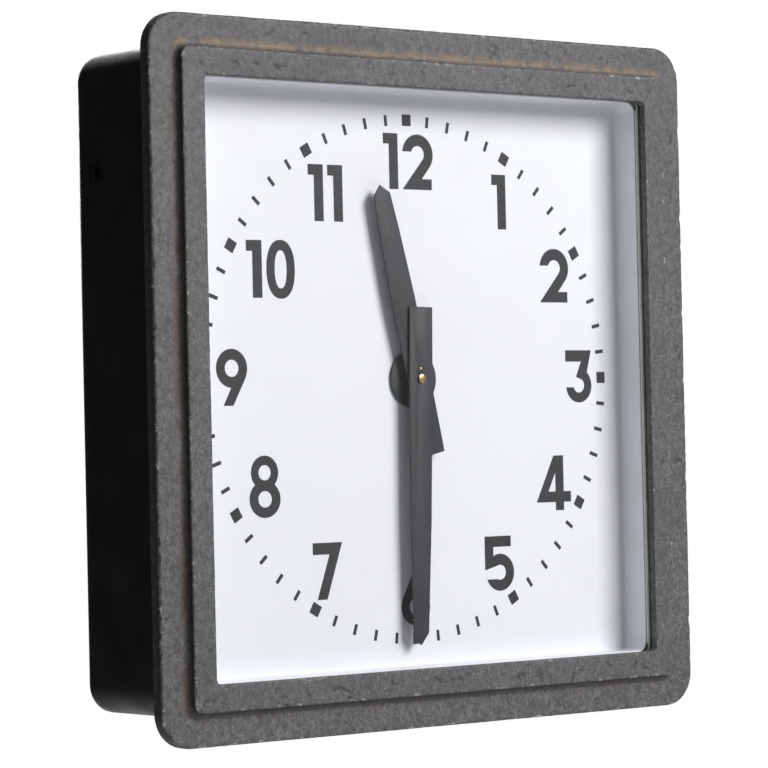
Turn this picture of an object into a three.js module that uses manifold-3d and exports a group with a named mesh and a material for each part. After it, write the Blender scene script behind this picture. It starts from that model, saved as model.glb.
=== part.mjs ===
// A square wall-mounted station clock: cast front frame on a deep black case, white dial, slave movement.
// Units are millimetres. +Z is up, the dial faces -Y, and the wall is the plane y = 0.
import * as THREE from 'three';
import { mergeVertices } from 'three/addons/utils/BufferGeometryUtils.js';
import Module from 'manifold-3d';

const wasm = await Module();
wasm.setup();

// Driving sizes of the case and the cast frame.
const openingSide = 400;
const raisedBorder = 18.5;
const flangeBorder = 22.5;
const caseInset = 18;
const caseDepth = 101.5;
const caseWall = 2.5;
const caseCornerRadius = 20;
const caseBackRounding = 9;
const rimFlare = 3;
const frameCornerRadius = 24;
const flangeThickness = 9.5;
const flangeRounding = 2;
const raisedHeight = 6;
const raisedCornerRadius = 7;
const coveRadius = 4.5;
const openingCornerRadius = 4;
const lipDepth = 4.8;
const rebateWidth = 5;
const rebateCornerRadius = 5.5;
const skirtDepth = 5;
const skirtThickness = 4;
const skirtPlay = 3;

// Glazing, seal and dial tray.
const glassThickness = 3;
const beddingThickness = 1.1;
const stripThickness = 1.2;
const sealThickness = 1.4;
const sealWidth = 4.5;
const dialWellDepth = 21.7;
const traySheet = 1.2;
const trayCornerRadius = 8;
const trayRimSetback = 2.7;
const railShortfall = 50;
const railSheet = 1.5;
const trayScrewRadius = 1.8;
const trayScrewHeadRadius = 3;
const trayScrewHeadHeight = 1.6;

// Hands and centre.
const coverDiscRadius = 20.5;
const coverDiscThickness = 2;
const handSheet = 1.2;
const hourHandLift = 7;
const minuteHandLift = 9;
const hourHandLength = 138;
const hourHandTail = 54.5;
const minuteHandLength = 185.5;
const minuteHandTail = 50;
const hourHandAngle = -13.3;
const minuteHandAngle = 181.5;
const arborRadius = 2.5;
const pipeWall = 1.4;

// Movement.
const plateTop = 50;
const plateBottom = -92;
const plateThickness = 2.5;
const pillarLength = 34;
const pillarRadius = 3.5;
const wheelThickness = 2.2;
const trainModule = 1;
const cannonTeeth = 12;
const intermediateTeeth = 36;
const intermediatePinionTeeth = 10;
const hourTeeth = 40;
const ratchetTeeth = 60;
const ratchetRadius = 24.2;
const ratchetToothDepth = 1.7;
const coilRadius = 11;
const coilFlange = 2;
const coilLength = 34;
const coreShoulder = 4;
const coilGap = 4;
const coreRadius = 4;
const yokeHeight = 6;
const airGap = 2.4;
const armatureThickness = 4;
const armatureWidth = 12;
const armatureZ = -33.6;
const armatureArborRadius = 2;
const pawlPinRadius = 1.5;
const pawlLift = 0.45;
const studRadius = 2;
const springRoot = 32.4;
const springThickness = 1;

// Hanging, entry, hinges and latch.
const keyholeSpacing = 240;
const hangingHeight = 140;
const barHeight = 30;
const barThickness = 3;
const wallScrewHeadRadius = 7;
const wallScrewShankRadius = 3.5;
const sideScrewSetback = 23;
const sideScrewHeadRadius = 5.5;
const sideScrewShankRadius = 2.5;
const sideScrewHeadHeight = 2.2;
const slotHalfWidth = 0.6;
const glandX = 90;
const glandSetback = 40;
const glandThreadRadius = 9;
const glandBoreRadius = 5.5;
const glandHexHeight = 5;
const glandNeckBelow = 9.5;
const glandNeckInside = 9;
const locknutHeight = 4;
const glandCapHeight = 12.5;
const glandCapThread = 7.5;
const glandSealHeight = 2.7;
const terminalHalfWidth = 26;
const terminalDepth = 16;
const terminalBottom = -152;
const terminalTop = -132;
const terminalScrewX = 12;
const terminalScrewZ = -138;
const terminalScrewRadius = 3.6;
const terminalSeatDepth = 11;
const leadRadius = 1;
const hingeSpacing = 300;
const hingeKnuckle = 12;
const hingePinRadius = 2;
const knuckleWall = 2.3;
const leafThickness = 2;
const caseLeafReach = 34;
const frameLeafReach = 16;
const pinHeadRadius = 3.5;
const latchPivotSetback = 70;
const latchReach = 25;
const latchPlate = 3;
const latchDrop = 5;
const latchPostRadius = 3;
const latchCollarRadius = 6;
const keeperWidth = 6;
const keeperSheet = 3;

// Clearances between pieces.
const gap = 0.3;
const runningGap = 0.3;

// Levels from the wall to the front, all measured along -Y.
const flangeBack = -(caseDepth + gap + sealThickness + gap);
const flangeFront = flangeBack - flangeThickness;
const frameFront = flangeFront - raisedHeight;
const lipBack = frameFront + lipDepth;
const glassFront = lipBack + gap;
const glassBack = glassFront + glassThickness;
const beddingFront = glassBack + gap;
const beddingBack = beddingFront + beddingThickness;
const stripFront = beddingBack + gap;
const stripBack = stripFront + stripThickness;
const trayFront = stripBack + gap;
const dialFace = trayFront + dialWellDepth;
const trayBack = dialFace + traySheet;
const frontPlateFront = trayBack + gap;
const frontPlateBack = frontPlateFront + plateThickness;
const backPlateFront = frontPlateBack + pillarLength;
const backPlateBack = backPlateFront + plateThickness;

// Widths and places that follow from the driving sizes.
const openingHalf = openingSide / 2;
const raisedHalf = openingHalf + raisedBorder;
const frameHalf = raisedHalf + flangeBorder;
const caseHalf = frameHalf - caseInset;
const innerHalf = caseHalf - caseWall;
const trayOuterHalf = openingHalf + traySheet;
const rebateHalf = openingHalf + rebateWidth;
const skirtOuterHalf = innerHalf - skirtPlay;
const skirtInnerHalf = skirtOuterHalf - skirtThickness;
const trayRimHalf = skirtInnerHalf - 4;
const railHalf = openingHalf - railShortfall;
const coilFlangeRadius = coilRadius + coilFlange;
const coilSpacing = 2 * coilFlangeRadius + coilGap;
const plateHalfWidth = coilSpacing / 2 + coilFlangeRadius + 14;
const armaturePivotX = 8 - plateHalfWidth;
const pawlPivotX = ratchetRadius + 2.8;
const hingeY = flangeBack + 5.5;
const hingeZ = caseHalf + 9;
const holeRadius = arborRadius + runningGap;
const pipeOuterRadius = holeRadius + pipeWall;
const hourHandFront = dialFace - hourHandLift - handSheet;
const minuteHandBack = dialFace - minuteHandLift;
const minuteHandFront = minuteHandBack - handSheet;
const trainDistance = trainModule * (cannonTeeth + intermediateTeeth) / 2;
const hourModule = 2 * trainDistance / (intermediatePinionTeeth + hourTeeth);
const hourWheelFront = frontPlateBack + 1;
const cannonFront = hourWheelFront + wheelThickness + 2;
const ratchetFront = backPlateFront - 7.5;
const latchTop = -caseHalf - latchDrop;

const cornerSteps = 6;
const roundSides = 20;
const model = new THREE.Group();

// ---------- helpers ----------

function degrees(angle) {
  return THREE.MathUtils.degToRad(angle);
}

function finish(color, roughness, metalness) {
  return new THREE.MeshStandardMaterial({ color, roughness, metalness });
}

function addPiece(name, geometry, material) {
  const mesh = new THREE.Mesh(geometry, material);
  mesh.name = name;
  model.add(mesh);
  return mesh;
}

function toSolid(geometry) {
  const bare = geometry.clone();
  bare.deleteAttribute('normal');
  bare.deleteAttribute('uv');
  const merged = mergeVertices(bare, 1e-4);
  return new wasm.Manifold(new wasm.Mesh({
    numProp: 3,
    vertProperties: new Float32Array(merged.attributes.position.array),
    triVerts: new Uint32Array(merged.index.array),
  }));
}

function toGeometry(solid) {
  const mesh = solid.getMesh();
  const geometry = new THREE.BufferGeometry();
  geometry.setAttribute('position', new THREE.BufferAttribute(mesh.vertProperties, 3));
  geometry.setIndex(new THREE.BufferAttribute(mesh.triVerts, 1));
  geometry.computeVertexNormals();
  return geometry;
}

function join(...geometries) {
  const solids = geometries.map(toSolid);
  return toGeometry(solids.reduce((sum, next) => sum.add(next)));
}

function cut(geometry, ...tools) {
  const solids = tools.map(toSolid);
  return toGeometry(solids.reduce((rest, tool) => rest.subtract(tool), toSolid(geometry)));
}

// A block between two corners.
function block(low, high) {
  const size = high.map((value, axis) => value - low[axis]);
  const middle = high.map((value, axis) => (value + low[axis]) / 2);
  return new THREE.BoxGeometry(...size).translate(...middle);
}

// A cylinder along one axis, from one level to another, centred on the two other coordinates.
function rod(axis, radius, from, to, first, second, sides = roundSides) {
  const geometry = new THREE.CylinderGeometry(radius, radius, Math.abs(to - from), sides);
  const middle = (from + to) / 2;
  if (axis === 'x') {
    return geometry.rotateZ(Math.PI / 2).translate(middle, first, second);
  }
  if (axis === 'y') {
    return geometry.translate(first, middle, second);
  }
  return geometry.rotateX(Math.PI / 2).translate(first, second, middle);
}

function polygon(points) {
  return new THREE.Shape(points.map(([x, y]) => new THREE.Vector2(x, y)));
}

function roundHole(x, y, radius) {
  return new THREE.Path().absarc(x, y, radius, 0, 2 * Math.PI, true);
}

// A plate drawn as (x, z), between two levels of y.
function plate(shape, back, front) {
  const options = { depth: back - front, bevelEnabled: false, curveSegments: roundSides / 2 };
  return new THREE.ExtrudeGeometry(shape, options).rotateX(Math.PI / 2).translate(0, back, 0);
}

// A section drawn as (x, y), between two levels of z.
function prism(shape, bottom, top) {
  const options = { depth: top - bottom, bevelEnabled: false, curveSegments: roundSides / 2 };
  return new THREE.ExtrudeGeometry(shape, options).translate(0, 0, bottom);
}

// A turned piece about an axis through the origin of the (radius, level) profile, along Y.
function turned(profile, sides = roundSides) {
  const points = profile.map(([radius, level]) => new THREE.Vector2(radius, level));
  return new THREE.LatheGeometry(points, sides);
}

function roundedSquare(half, radius) {
  const shape = new THREE.Shape();
  const straight = half - radius;
  shape.absarc(straight, straight, radius, 0, Math.PI / 2);
  shape.absarc(-straight, straight, radius, Math.PI / 2, Math.PI);
  shape.absarc(-straight, -straight, radius, Math.PI, 1.5 * Math.PI);
  shape.absarc(straight, -straight, radius, 1.5 * Math.PI, 2 * Math.PI);
  return shape;
}

// One loop of points round a rounded square; every loop has the same count, so loops can be skinned.
function squareLoop({ half, radius, y }) {
  const points = [];
  const origin = new THREE.Vector2();
  for (let corner = 0; corner < 4; corner += 1) {
    const turn = corner * Math.PI / 2;
    const middle = new THREE.Vector2(half - radius, half - radius).rotateAround(origin, turn);
    for (let step = 0; step <= cornerSteps; step += 1) {
      const angle = turn + step / cornerSteps * Math.PI / 2;
      points.push([middle.x + radius * Math.cos(angle), y, middle.y + radius * Math.sin(angle)]);
    }
  }
  return points;
}

// Skins a chain of square loops. A ring closes on its first loop; a shell has its two ends capped.
function skin(loops, closed) {
  const rings = loops.map(squareLoop);
  const count = rings[0].length;
  const indices = [];
  const last = closed ? rings.length : rings.length - 1;
  for (let ring = 0; ring < last; ring += 1) {
    const here = ring * count;
    const there = (ring + 1) % rings.length * count;
    for (let point = 0; point < count; point += 1) {
      const next = (point + 1) % count;
      indices.push(here + point, there + next, here + next);
      indices.push(here + point, there + point, there + next);
    }
  }
  if (!closed) {
    const end = (rings.length - 1) * count;
    for (let point = 1; point < count - 1; point += 1) {
      indices.push(0, point, point + 1);
      indices.push(end, end + point + 1, end + point);
    }
  }
  const geometry = new THREE.BufferGeometry();
  geometry.setAttribute('position', new THREE.Float32BufferAttribute(rings.flat(2), 3));
  geometry.setIndex(indices);
  geometry.computeVertexNormals();
  return geometry;
}

// Loops along a quarter round: steps from one angle to another about a centre in the (half, y) section.
function roundedLoops(centreHalf, centreY, size, from, to, cornerAt, steps = 4) {
  return Array.from({ length: steps + 1 }, (_, step) => {
    const angle = degrees(from + (to - from) * step / steps);
    const half = centreHalf + size * Math.cos(angle);
    return { half, radius: cornerAt(half), y: centreY + size * Math.sin(angle) };
  });
}

// A spur wheel's outline with plain flanks, slim enough for backlash, and a tooth centred at the angle.
function gearShape(teeth, toothModule, toothAngle) {
  const pitchRadius = teeth * toothModule / 2;
  const tip = pitchRadius + 0.8 * toothModule;
  const root = pitchRadius - 1.1 * toothModule;
  const pitch = 2 * Math.PI / teeth;
  const points = [];
  for (let tooth = 0; tooth < teeth; tooth += 1) {
    const middle = toothAngle + tooth * pitch;
    const flank = [[root, -0.29], [tip, -0.11], [tip, 0.11], [root, 0.29]];
    for (const [radius, share] of flank) {
      const angle = middle + share * pitch;
      points.push([radius * Math.cos(angle), radius * Math.sin(angle)]);
    }
  }
  return polygon(points);
}

// ---------- materials ----------

const castGrey = finish(0x6b686a, 0.62, 0.35);
const caseBlack = finish(0x0d0c10, 0.5, 0.1);
const dialWhite = finish(0xeef0f4, 0.45, 0);
const handGrey = finish(0x4a4b50, 0.5, 0.1);
const clearGlass = finish(0xe4eeee, 0.05, 0);
const steel = finish(0x9a9c9f, 0.35, 0.9);
const zincSteel = finish(0xb4b6b4, 0.4, 0.8);
const brass = finish(0xb99a56, 0.3, 0.9);
const rubber = finish(0x1d1d1e, 0.85, 0);
const putty = finish(0xb9b6ad, 0.8, 0);
const bakelite = finish(0x2a1b15, 0.4, 0);
const iron = finish(0x55565a, 0.5, 0.8);
const windingRed = finish(0x7b3120, 0.6, 0.1);
const clothLead = finish(0x6a5a38, 0.8, 0);

// ---------- case ----------

function caseBody() {
  const corner = (half) => caseCornerRadius + half - caseHalf;
  const innerRounding = caseBackRounding - caseWall;
  const middle = caseHalf - caseBackRounding;
  const rimHalf = caseHalf + rimFlare;
  const shell = skin([
    ...roundedLoops(middle, -caseBackRounding, innerRounding, 90, 0, corner),
    { half: innerHalf, radius: corner(innerHalf), y: -caseDepth },
    { half: rimHalf, radius: corner(rimHalf), y: -caseDepth },
    { half: rimHalf, radius: corner(rimHalf), y: -caseDepth + rimFlare },
    { half: caseHalf, radius: corner(caseHalf), y: -caseDepth + 2.5 * rimFlare },
    ...roundedLoops(middle, -caseBackRounding, caseBackRounding, 0, 90, corner),
  ], false);
  const tools = [-1, 1].flatMap((side) => [
    rod('y', 2 * wallScrewHeadRadius, -2 * caseWall, 1, side * keyholeSpacing / 2, hangingHeight),
    rod('x', sideScrewShankRadius + gap, side * (innerHalf - 2), side * (caseHalf + 2),
      -sideScrewSetback, hangingHeight),
  ]);
  const entry = rod('z', glandThreadRadius + gap, -caseHalf - 2, -innerHalf + 2, glandX, -glandSetback);
  return cut(shell, ...tools, entry);
}

// The bar inside the back that carries the clock's weight on two wall screws.
function hangingBar() {
  const back = -caseWall - gap;
  const reach = innerHalf - gap;
  const flat = caseHalf - caseBackRounding;
  const tab = -sideScrewSetback - 7;
  const half = [
    [flat, back], [reach, -caseBackRounding - 1], [reach, tab], [reach - barThickness, tab],
    [reach - barThickness, -caseBackRounding - 2], [flat - 1, back - barThickness],
  ];
  const mirrored = half.map(([x, y]) => [-x, y]).reverse();
  const bottom = hangingHeight - barHeight / 2;
  const bar = prism(polygon([...half, ...mirrored]), bottom, bottom + barHeight);
  const deep = back - barThickness - 1;
  const tools = [-1, 1].flatMap((side) => {
    const x = side * keyholeSpacing / 2;
    const low = hangingHeight - wallScrewHeadRadius / 2;
    const slotTop = low + wallScrewHeadRadius + 5;
    return [
      rod('y', wallScrewHeadRadius, deep, back + 1, x, low),
      rod('y', wallScrewShankRadius, deep, back + 1, x, slotTop),
      block([x - wallScrewShankRadius, deep, low], [x + wallScrewShankRadius, back + 1, slotTop]),
      rod('x', sideScrewShankRadius + gap, side * (reach - barThickness - 1), side * (reach + 1),
        -sideScrewSetback, hangingHeight),
    ];
  });
  return cut(bar, ...tools);
}

function sideScrew(side) {
  const face = caseHalf + gap;
  const top = face + sideScrewHeadHeight;
  const head = rod('x', sideScrewHeadRadius, side * face, side * top, -sideScrewSetback, hangingHeight);
  const shank = rod('x', sideScrewShankRadius, side * (innerHalf - 12), side * (face + 0.5),
    -sideScrewSetback, hangingHeight, 12);
  const slot = block(
    [-30, -sideScrewSetback - slotHalfWidth, hangingHeight - 8],
    [30, -sideScrewSetback + slotHalfWidth, hangingHeight + 8],
  ).translate(side * (top + 29), 0, 0);
  return cut(join(head, shank), slot);
}

// ---------- cable entry ----------

function glandBody() {
  const wall = -caseHalf - gap;
  const hexagon = rod('z', glandThreadRadius + 3.5, wall - glandHexHeight, wall, glandX, -glandSetback, 6);
  const inside = glandNeckInside - innerHalf;
  const neck = rod('z', glandThreadRadius, wall - glandNeckBelow, inside, glandX, -glandSetback);
  const bore = rod('z', glandBoreRadius, wall - 12, -innerHalf + 12, glandX, -glandSetback);
  return cut(join(hexagon, neck), bore);
}

function glandLocknut() {
  const floor = -innerHalf + gap;
  const top = floor + locknutHeight;
  const nut = rod('z', glandThreadRadius + 4, floor, top, glandX, -glandSetback, 6);
  return cut(nut, rod('z', glandThreadRadius + gap, floor - 1, top + 1, glandX, -glandSetback));
}

function glandCap() {
  const top = -caseHalf - gap - glandHexHeight - gap;
  const cap = rod('z', glandThreadRadius + 3, top - glandCapHeight, top, glandX, -glandSetback, 24);
  const thread = rod('z', glandThreadRadius + gap, top - glandCapThread, top + 1, glandX, -glandSetback);
  const bore = rod('z', glandBoreRadius, top - glandCapHeight - 1.5, top, glandX, -glandSetback);
  return cut(cap, thread, bore);
}

function glandSeal() {
  const top = -caseHalf - gap - glandNeckBelow - gap;
  const ring = rod('z', glandThreadRadius - gap, top - glandSealHeight, top, glandX, -glandSetback);
  return cut(ring, rod('z', glandBoreRadius - 1, top - 4, top + 1, glandX, -glandSetback));
}

function terminalBlock() {
  const back = -caseWall - gap;
  const body = block(
    [-terminalHalfWidth, back - terminalDepth, terminalBottom],
    [terminalHalfWidth, back, terminalTop],
  );
  const steps = [-1, 1].map((side) => block(
    [side * terminalScrewX - 7, back - terminalDepth - 1, terminalBottom + 7],
    [side * terminalScrewX + 7, back - terminalSeatDepth, terminalTop + 1],
  ));
  return cut(body, ...steps);
}

function terminalScrew(side) {
  const seat = -caseWall - gap - terminalSeatDepth - gap;
  const x = side * terminalScrewX;
  return cut(
    rod('y', terminalScrewRadius, seat - 2.6, seat, x, terminalScrewZ, 16),
    block([x - 5, seat - 3, terminalScrewZ - 0.5], [x + 5, seat - 1.8, terminalScrewZ + 0.5]),
  );
}

// A cloth-covered lead from a terminal to its coil's winding, held inside the case all the way.
function coilLead(side) {
  const seat = -caseWall - gap - terminalSeatDepth - gap;
  const middle = (frontPlateBack + backPlateFront) / 2;
  const beside = coilSpacing / 2 + coilFlangeRadius + 1.7;
  const route = [
    [side * terminalScrewX, seat - 3.9, terminalScrewZ + 4.4],
    [side * 13, seat - 10, -121],
    [side * 20, middle + 12, -103],
    [side * beside, middle, -88],
    [side * beside, middle, -68],
    [side * (coilSpacing / 2 + coilRadius + 1.4), middle, -60],
  ].map((point) => new THREE.Vector3(...point));
  const path = new THREE.CatmullRomCurve3(route, false, 'centripetal');
  const section = new THREE.Shape().absarc(0, 0, leadRadius, 0, 2 * Math.PI);
  return new THREE.ExtrudeGeometry(section, { steps: 24, extrudePath: path, curveSegments: 4 });
}

// ---------- dial ----------

function dialTray() {
  const rimFront = trayFront + trayRimSetback;
  const inner = trayCornerRadius;
  const outer = trayCornerRadius + traySheet;
  const rim = outer + 4;
  const shell = skin([
    { half: openingHalf, radius: inner, y: dialFace },
    { half: openingHalf, radius: inner, y: trayFront },
    { half: trayOuterHalf, radius: outer, y: trayFront },
    { half: trayOuterHalf, radius: outer, y: rimFront },
    { half: trayRimHalf, radius: rim, y: rimFront },
    { half: trayRimHalf, radius: rim, y: rimFront + traySheet },
    { half: trayOuterHalf, radius: outer, y: rimFront + traySheet },
    { half: trayOuterHalf, radius: outer, y: trayBack },
  ], false);
  const centre = rod('y', pipeOuterRadius + runningGap, dialFace - 1, trayBack + 1, 0, 0);
  const screwHoles = traySpots().map(([x, z]) => (
    rod('y', trayScrewRadius + gap, rimFront - 1, rimFront + traySheet + 1, x, z, 12)
  ));
  return cut(shell, centre, ...screwHoles);
}

function traySpots() {
  const x = (trayOuterHalf + trayRimHalf) / 2 + 0.6;
  const z = railHalf - 15;
  return [[-x, z], [x, z], [-x, -z], [x, -z]];
}

// A folded rail on the case's side wall; the tray's rim is screwed to its front flange.
function trayRail(side) {
  const front = trayFront + trayRimSetback + traySheet + gap;
  const near = trayOuterHalf + 0.8;
  const web = skirtInnerHalf - 2;
  const step = flangeBack + skirtDepth + 5;
  const wall = innerHalf - gap;
  const section = [
    [near, front], [web, front], [web, step], [wall, step],
    [wall, step + 18], [wall - railSheet, step + 18],
    [wall - railSheet, step + railSheet], [web - railSheet, step + railSheet],
    [web - railSheet, front + railSheet], [near, front + railSheet],
  ].map(([x, y]) => [side * x, y]);
  const rail = prism(polygon(side > 0 ? section : section.reverse()), -railHalf, railHalf);
  const holes = traySpots().filter(([x]) => x * side > 0).map(([x, z]) => (
    rod('y', trayScrewRadius + gap, front - 1, front + railSheet + 1, x, z, 12)
  ));
  return cut(rail, ...holes);
}

function trayScrew([x, z]) {
  const seat = trayFront + trayRimSetback - gap;
  const head = rod('y', trayScrewHeadRadius, seat - trayScrewHeadHeight, seat, x, z, 12);
  const shank = rod('y', trayScrewRadius, seat - 0.5, seat + 8, x, z, 10);
  return join(head, shank);
}

function coverDisc() {
  const back = dialFace - gap;
  const disc = rod('y', coverDiscRadius, back - coverDiscThickness, back, 0, 0, 48);
  return cut(disc, rod('y', pipeOuterRadius + runningGap, back - coverDiscThickness - 1, back + 1, 0, 0));
}

// ---------- movement ----------

function movementPlate(back, front) {
  const shape = polygon([
    [-plateHalfWidth, plateBottom], [plateHalfWidth, plateBottom], [plateHalfWidth, plateTop - 14],
    [plateHalfWidth - 14, plateTop], [-plateHalfWidth + 14, plateTop], [-plateHalfWidth, plateTop - 14],
  ]);
  return plate(shape, back, front);
}

function pillarSpots() {
  const low = plateHalfWidth - 6;
  const high = plateHalfWidth - 16;
  return [[-high, plateTop - 7], [high, plateTop - 7], [-low, plateBottom + 6], [low, plateBottom + 6]];
}

function frontPlate() {
  const through = frontPlateFront - 1;
  const beyond = frontPlateBack + 1;
  return cut(
    movementPlate(frontPlateBack, frontPlateFront),
    rod('y', pipeOuterRadius + runningGap, through, beyond, 0, 0),
    rod('y', armatureArborRadius + runningGap, through, beyond, armaturePivotX, armatureZ, 16),
    rod('y', studRadius + gap, through, beyond, 0, trainDistance, 16),
    ...pillarSpots().map(([x, z]) => rod('y', pillarRadius - 1 + gap, through, beyond, x, z, 12)),
  );
}

function backPlate() {
  const through = backPlateFront - 1;
  const beyond = backPlateBack + 1;
  return cut(
    movementPlate(backPlateBack, backPlateFront),
    rod('y', holeRadius, through, beyond, 0, 0),
    rod('y', armatureArborRadius + runningGap, through, beyond, armaturePivotX, armatureZ, 16),
    ...pillarSpots().map(([x, z]) => rod('y', pillarRadius - 1 + gap, through, beyond, x, z, 12)),
  );
}

function pillar([x, z]) {
  const barrel = rod('y', pillarRadius, frontPlateBack + gap, backPlateFront - gap, x, z, 16);
  const ends = rod('y', pillarRadius - 1, frontPlateFront + gap, backPlateBack + 3, x, z, 12);
  return join(barrel, ends);
}

function poleTop() {
  return armatureZ - armatureThickness / 2 - airGap;
}

// The iron yoke with its two cores, which run up through the coils to the armature.
function magnetYoke() {
  const middle = (frontPlateBack + backPlateFront) / 2;
  const bottom = poleTop() - coilLength - coreShoulder;
  const bar = block(
    [-coilSpacing / 2 - 9, frontPlateBack + gap, bottom - yokeHeight],
    [coilSpacing / 2 + 9, backPlateFront - gap, bottom],
  );
  const cores = [-1, 1].map((side) => (
    rod('z', coreRadius, bottom - 1, poleTop(), side * coilSpacing / 2, middle, 16)
  ));
  return join(bar, ...cores);
}

function coil(side) {
  const middle = (frontPlateBack + backPlateFront) / 2;
  const bottom = poleTop() - coilLength - coreShoulder + gap;
  const bore = coreRadius + gap;
  const top = bottom + coilLength;
  const profile = [
    [bore, 0], [coilFlangeRadius, 0], [coilFlangeRadius, coilFlange], [coilRadius, coilFlange],
    [coilRadius, top - bottom - coilFlange], [coilFlangeRadius, top - bottom - coilFlange],
    [coilFlangeRadius, top - bottom], [bore, top - bottom], [bore, 0],
  ];
  return turned(profile, 20).rotateX(Math.PI / 2).translate(side * coilSpacing / 2, middle, bottom);
}

function armature() {
  const middle = (frontPlateBack + backPlateFront) / 2;
  const front = middle - armatureWidth / 2;
  const back = middle + armatureWidth / 2;
  const bar = block(
    [armaturePivotX, front, armatureZ - armatureThickness / 2],
    [pawlPivotX + 3, back, armatureZ + armatureThickness / 2],
  );
  const boss = rod('y', armatureArborRadius + 3, front, back, armaturePivotX, armatureZ, 16);
  const pinEnd = ratchetFront + wheelThickness + 1.5;
  const pawlPin = rod('y', pawlPinRadius, back - 1, pinEnd, pawlPivotX, armatureZ, 12);
  const bore = rod('y', armatureArborRadius + gap, front - 1, back + 1, armaturePivotX, armatureZ, 16);
  return cut(join(bar, boss, pawlPin), bore);
}

function armatureArbor() {
  return rod('y', armatureArborRadius, frontPlateFront + gap, backPlateBack, armaturePivotX, armatureZ, 16);
}

// The driving pawl stands just clear of the ratchet wheel's teeth and drops into them as it swings.
function pawl() {
  const reach = ratchetRadius + pawlLift;
  const arm = [
    [pawlPivotX - 2.6, armatureZ + 1], [pawlPivotX + 2.6, armatureZ + 1], [reach + 5.4, 3.2],
    [reach + 1.8, 3.6], [reach, 0.75], [reach, 0.35], [reach + 2, -1],
  ];
  const blade = plate(polygon(arm), ratchetFront + wheelThickness, ratchetFront);
  const eye = rod('y', 4, ratchetFront, ratchetFront + wheelThickness, pawlPivotX, armatureZ, 16);
  const hole = rod('y', pawlPinRadius + runningGap, ratchetFront - 1, ratchetFront + wheelThickness + 1,
    pawlPivotX, armatureZ, 16);
  return cut(join(blade, eye), hole);
}

// A leaf on a foot under the ratchet wheel's left side keeps it from turning back.
function backstopSpring() {
  const foot = block([-37, ratchetFront, -14], [-31, backPlateFront - gap, -8]);
  const leaf = polygon([
    [-springRoot, -10], [springThickness - springRoot, -10],
    [-ratchetRadius - 0.9, -0.6], [-ratchetRadius - 0.9 - springThickness, -0.2],
  ]);
  return join(foot, plate(leaf, ratchetFront + wheelThickness, ratchetFront));
}

function centreArbor() {
  const slim = rod('y', arborRadius, backPlateBack + 1.5, minuteHandFront - gap, 0, 0);
  const collar = rod('y', arborRadius + 2, ratchetFront - 2.5, ratchetFront - gap, 0, 0);
  const teeth = gearShape(cannonTeeth, trainModule, Math.PI / 2);
  const pinion = plate(teeth, cannonFront + wheelThickness + 0.6, cannonFront);
  return join(slim, collar, pinion);
}

function ratchetWheel() {
  const points = [];
  for (let tooth = 0; tooth < ratchetTeeth; tooth += 1) {
    const start = tooth / ratchetTeeth;
    const root = [ratchetRadius - ratchetToothDepth, start];
    const tip = [ratchetRadius, start + 0.9 / ratchetTeeth];
    for (const [radius, turn] of [root, tip]) {
      const angle = 2 * Math.PI * turn;
      points.push([radius * Math.cos(angle), radius * Math.sin(angle)]);
    }
  }
  const shape = polygon(points);
  shape.holes.push(roundHole(0, 0, holeRadius));
  for (let spoke = 0; spoke < 4; spoke += 1) {
    const angle = degrees(45 + 90 * spoke);
    shape.holes.push(roundHole(13 * Math.cos(angle), 13 * Math.sin(angle), 5));
  }
  return plate(shape, ratchetFront + wheelThickness, ratchetFront);
}

function intermediateWheel() {
  const shape = gearShape(intermediateTeeth, trainModule, -Math.PI / 2 + Math.PI / intermediateTeeth);
  const wheel = plate(shape, cannonFront + wheelThickness, cannonFront);
  const pinionShape = gearShape(intermediatePinionTeeth, hourModule, -Math.PI / 2);
  const pinion = plate(pinionShape, cannonFront + 0.5, hourWheelFront);
  const back = cannonFront + wheelThickness;
  const bore = rod('y', studRadius + runningGap, hourWheelFront - 1, back + 1, 0, 0, 16);
  return cut(join(wheel, pinion), bore).translate(0, 0, trainDistance);
}

function intermediateStud() {
  const wheelBack = cannonFront + wheelThickness;
  const shank = rod('y', studRadius, frontPlateFront + gap, wheelBack + gap, 0, trainDistance, 16);
  const head = rod('y', studRadius + 2, wheelBack + gap, wheelBack + 2, 0, trainDistance, 16);
  return join(shank, head);
}

function hourWheel() {
  const shape = gearShape(hourTeeth, hourModule, Math.PI / 2 + Math.PI / hourTeeth);
  const wheel = plate(shape, hourWheelFront + wheelThickness, hourWheelFront);
  const pipe = rod('y', pipeOuterRadius, hourWheelFront + wheelThickness, hourHandFront, 0, 0);
  const bore = rod('y', holeRadius, hourWheelFront + wheelThickness + 1, hourHandFront - 1, 0, 0);
  return cut(join(wheel, pipe), bore);
}

// ---------- hands ----------

// A blade with straight flanks: (distance from the centre, width) down one side and back up the other.
function handShape(stations, tip) {
  const right = stations.map(([distance, width]) => [width / 2, distance]);
  const left = right.map(([x, z]) => [-x, z]).reverse();
  return polygon([...right, [0, tip], ...left]);
}

function hourHand() {
  const back = hourHandFront + handSheet;
  const stations = [
    [-hourHandTail, 18.8], [0, 20.4], [58, 21.6], [82, 20], [105, 18.2], [hourHandLength - 7, 15],
  ];
  const blade = plate(handShape(stations, hourHandLength), back, hourHandFront);
  const collar = rod('y', pipeOuterRadius + 2.5, back - 0.2, back + 2.5, 0, 0);
  const bore = rod('y', pipeOuterRadius + gap, hourHandFront - 1, hourHandFront + 5, 0, 0);
  return cut(join(blade, collar), bore).rotateY(degrees(hourHandAngle));
}

function minuteHand() {
  const stations = [
    [-minuteHandTail, 20.6], [0, 21], [50, 19.8], [99, 18.7], [127, 16.9], [148, 15.6],
    [minuteHandLength - 8.5, 13.6],
  ];
  const blade = plate(handShape(stations, minuteHandLength), minuteHandBack, minuteHandFront);
  const bore = rod('y', holeRadius, minuteHandFront - 1, minuteHandBack + 1, 0, 0);
  return cut(blade, bore).rotateY(degrees(minuteHandAngle));
}

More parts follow.
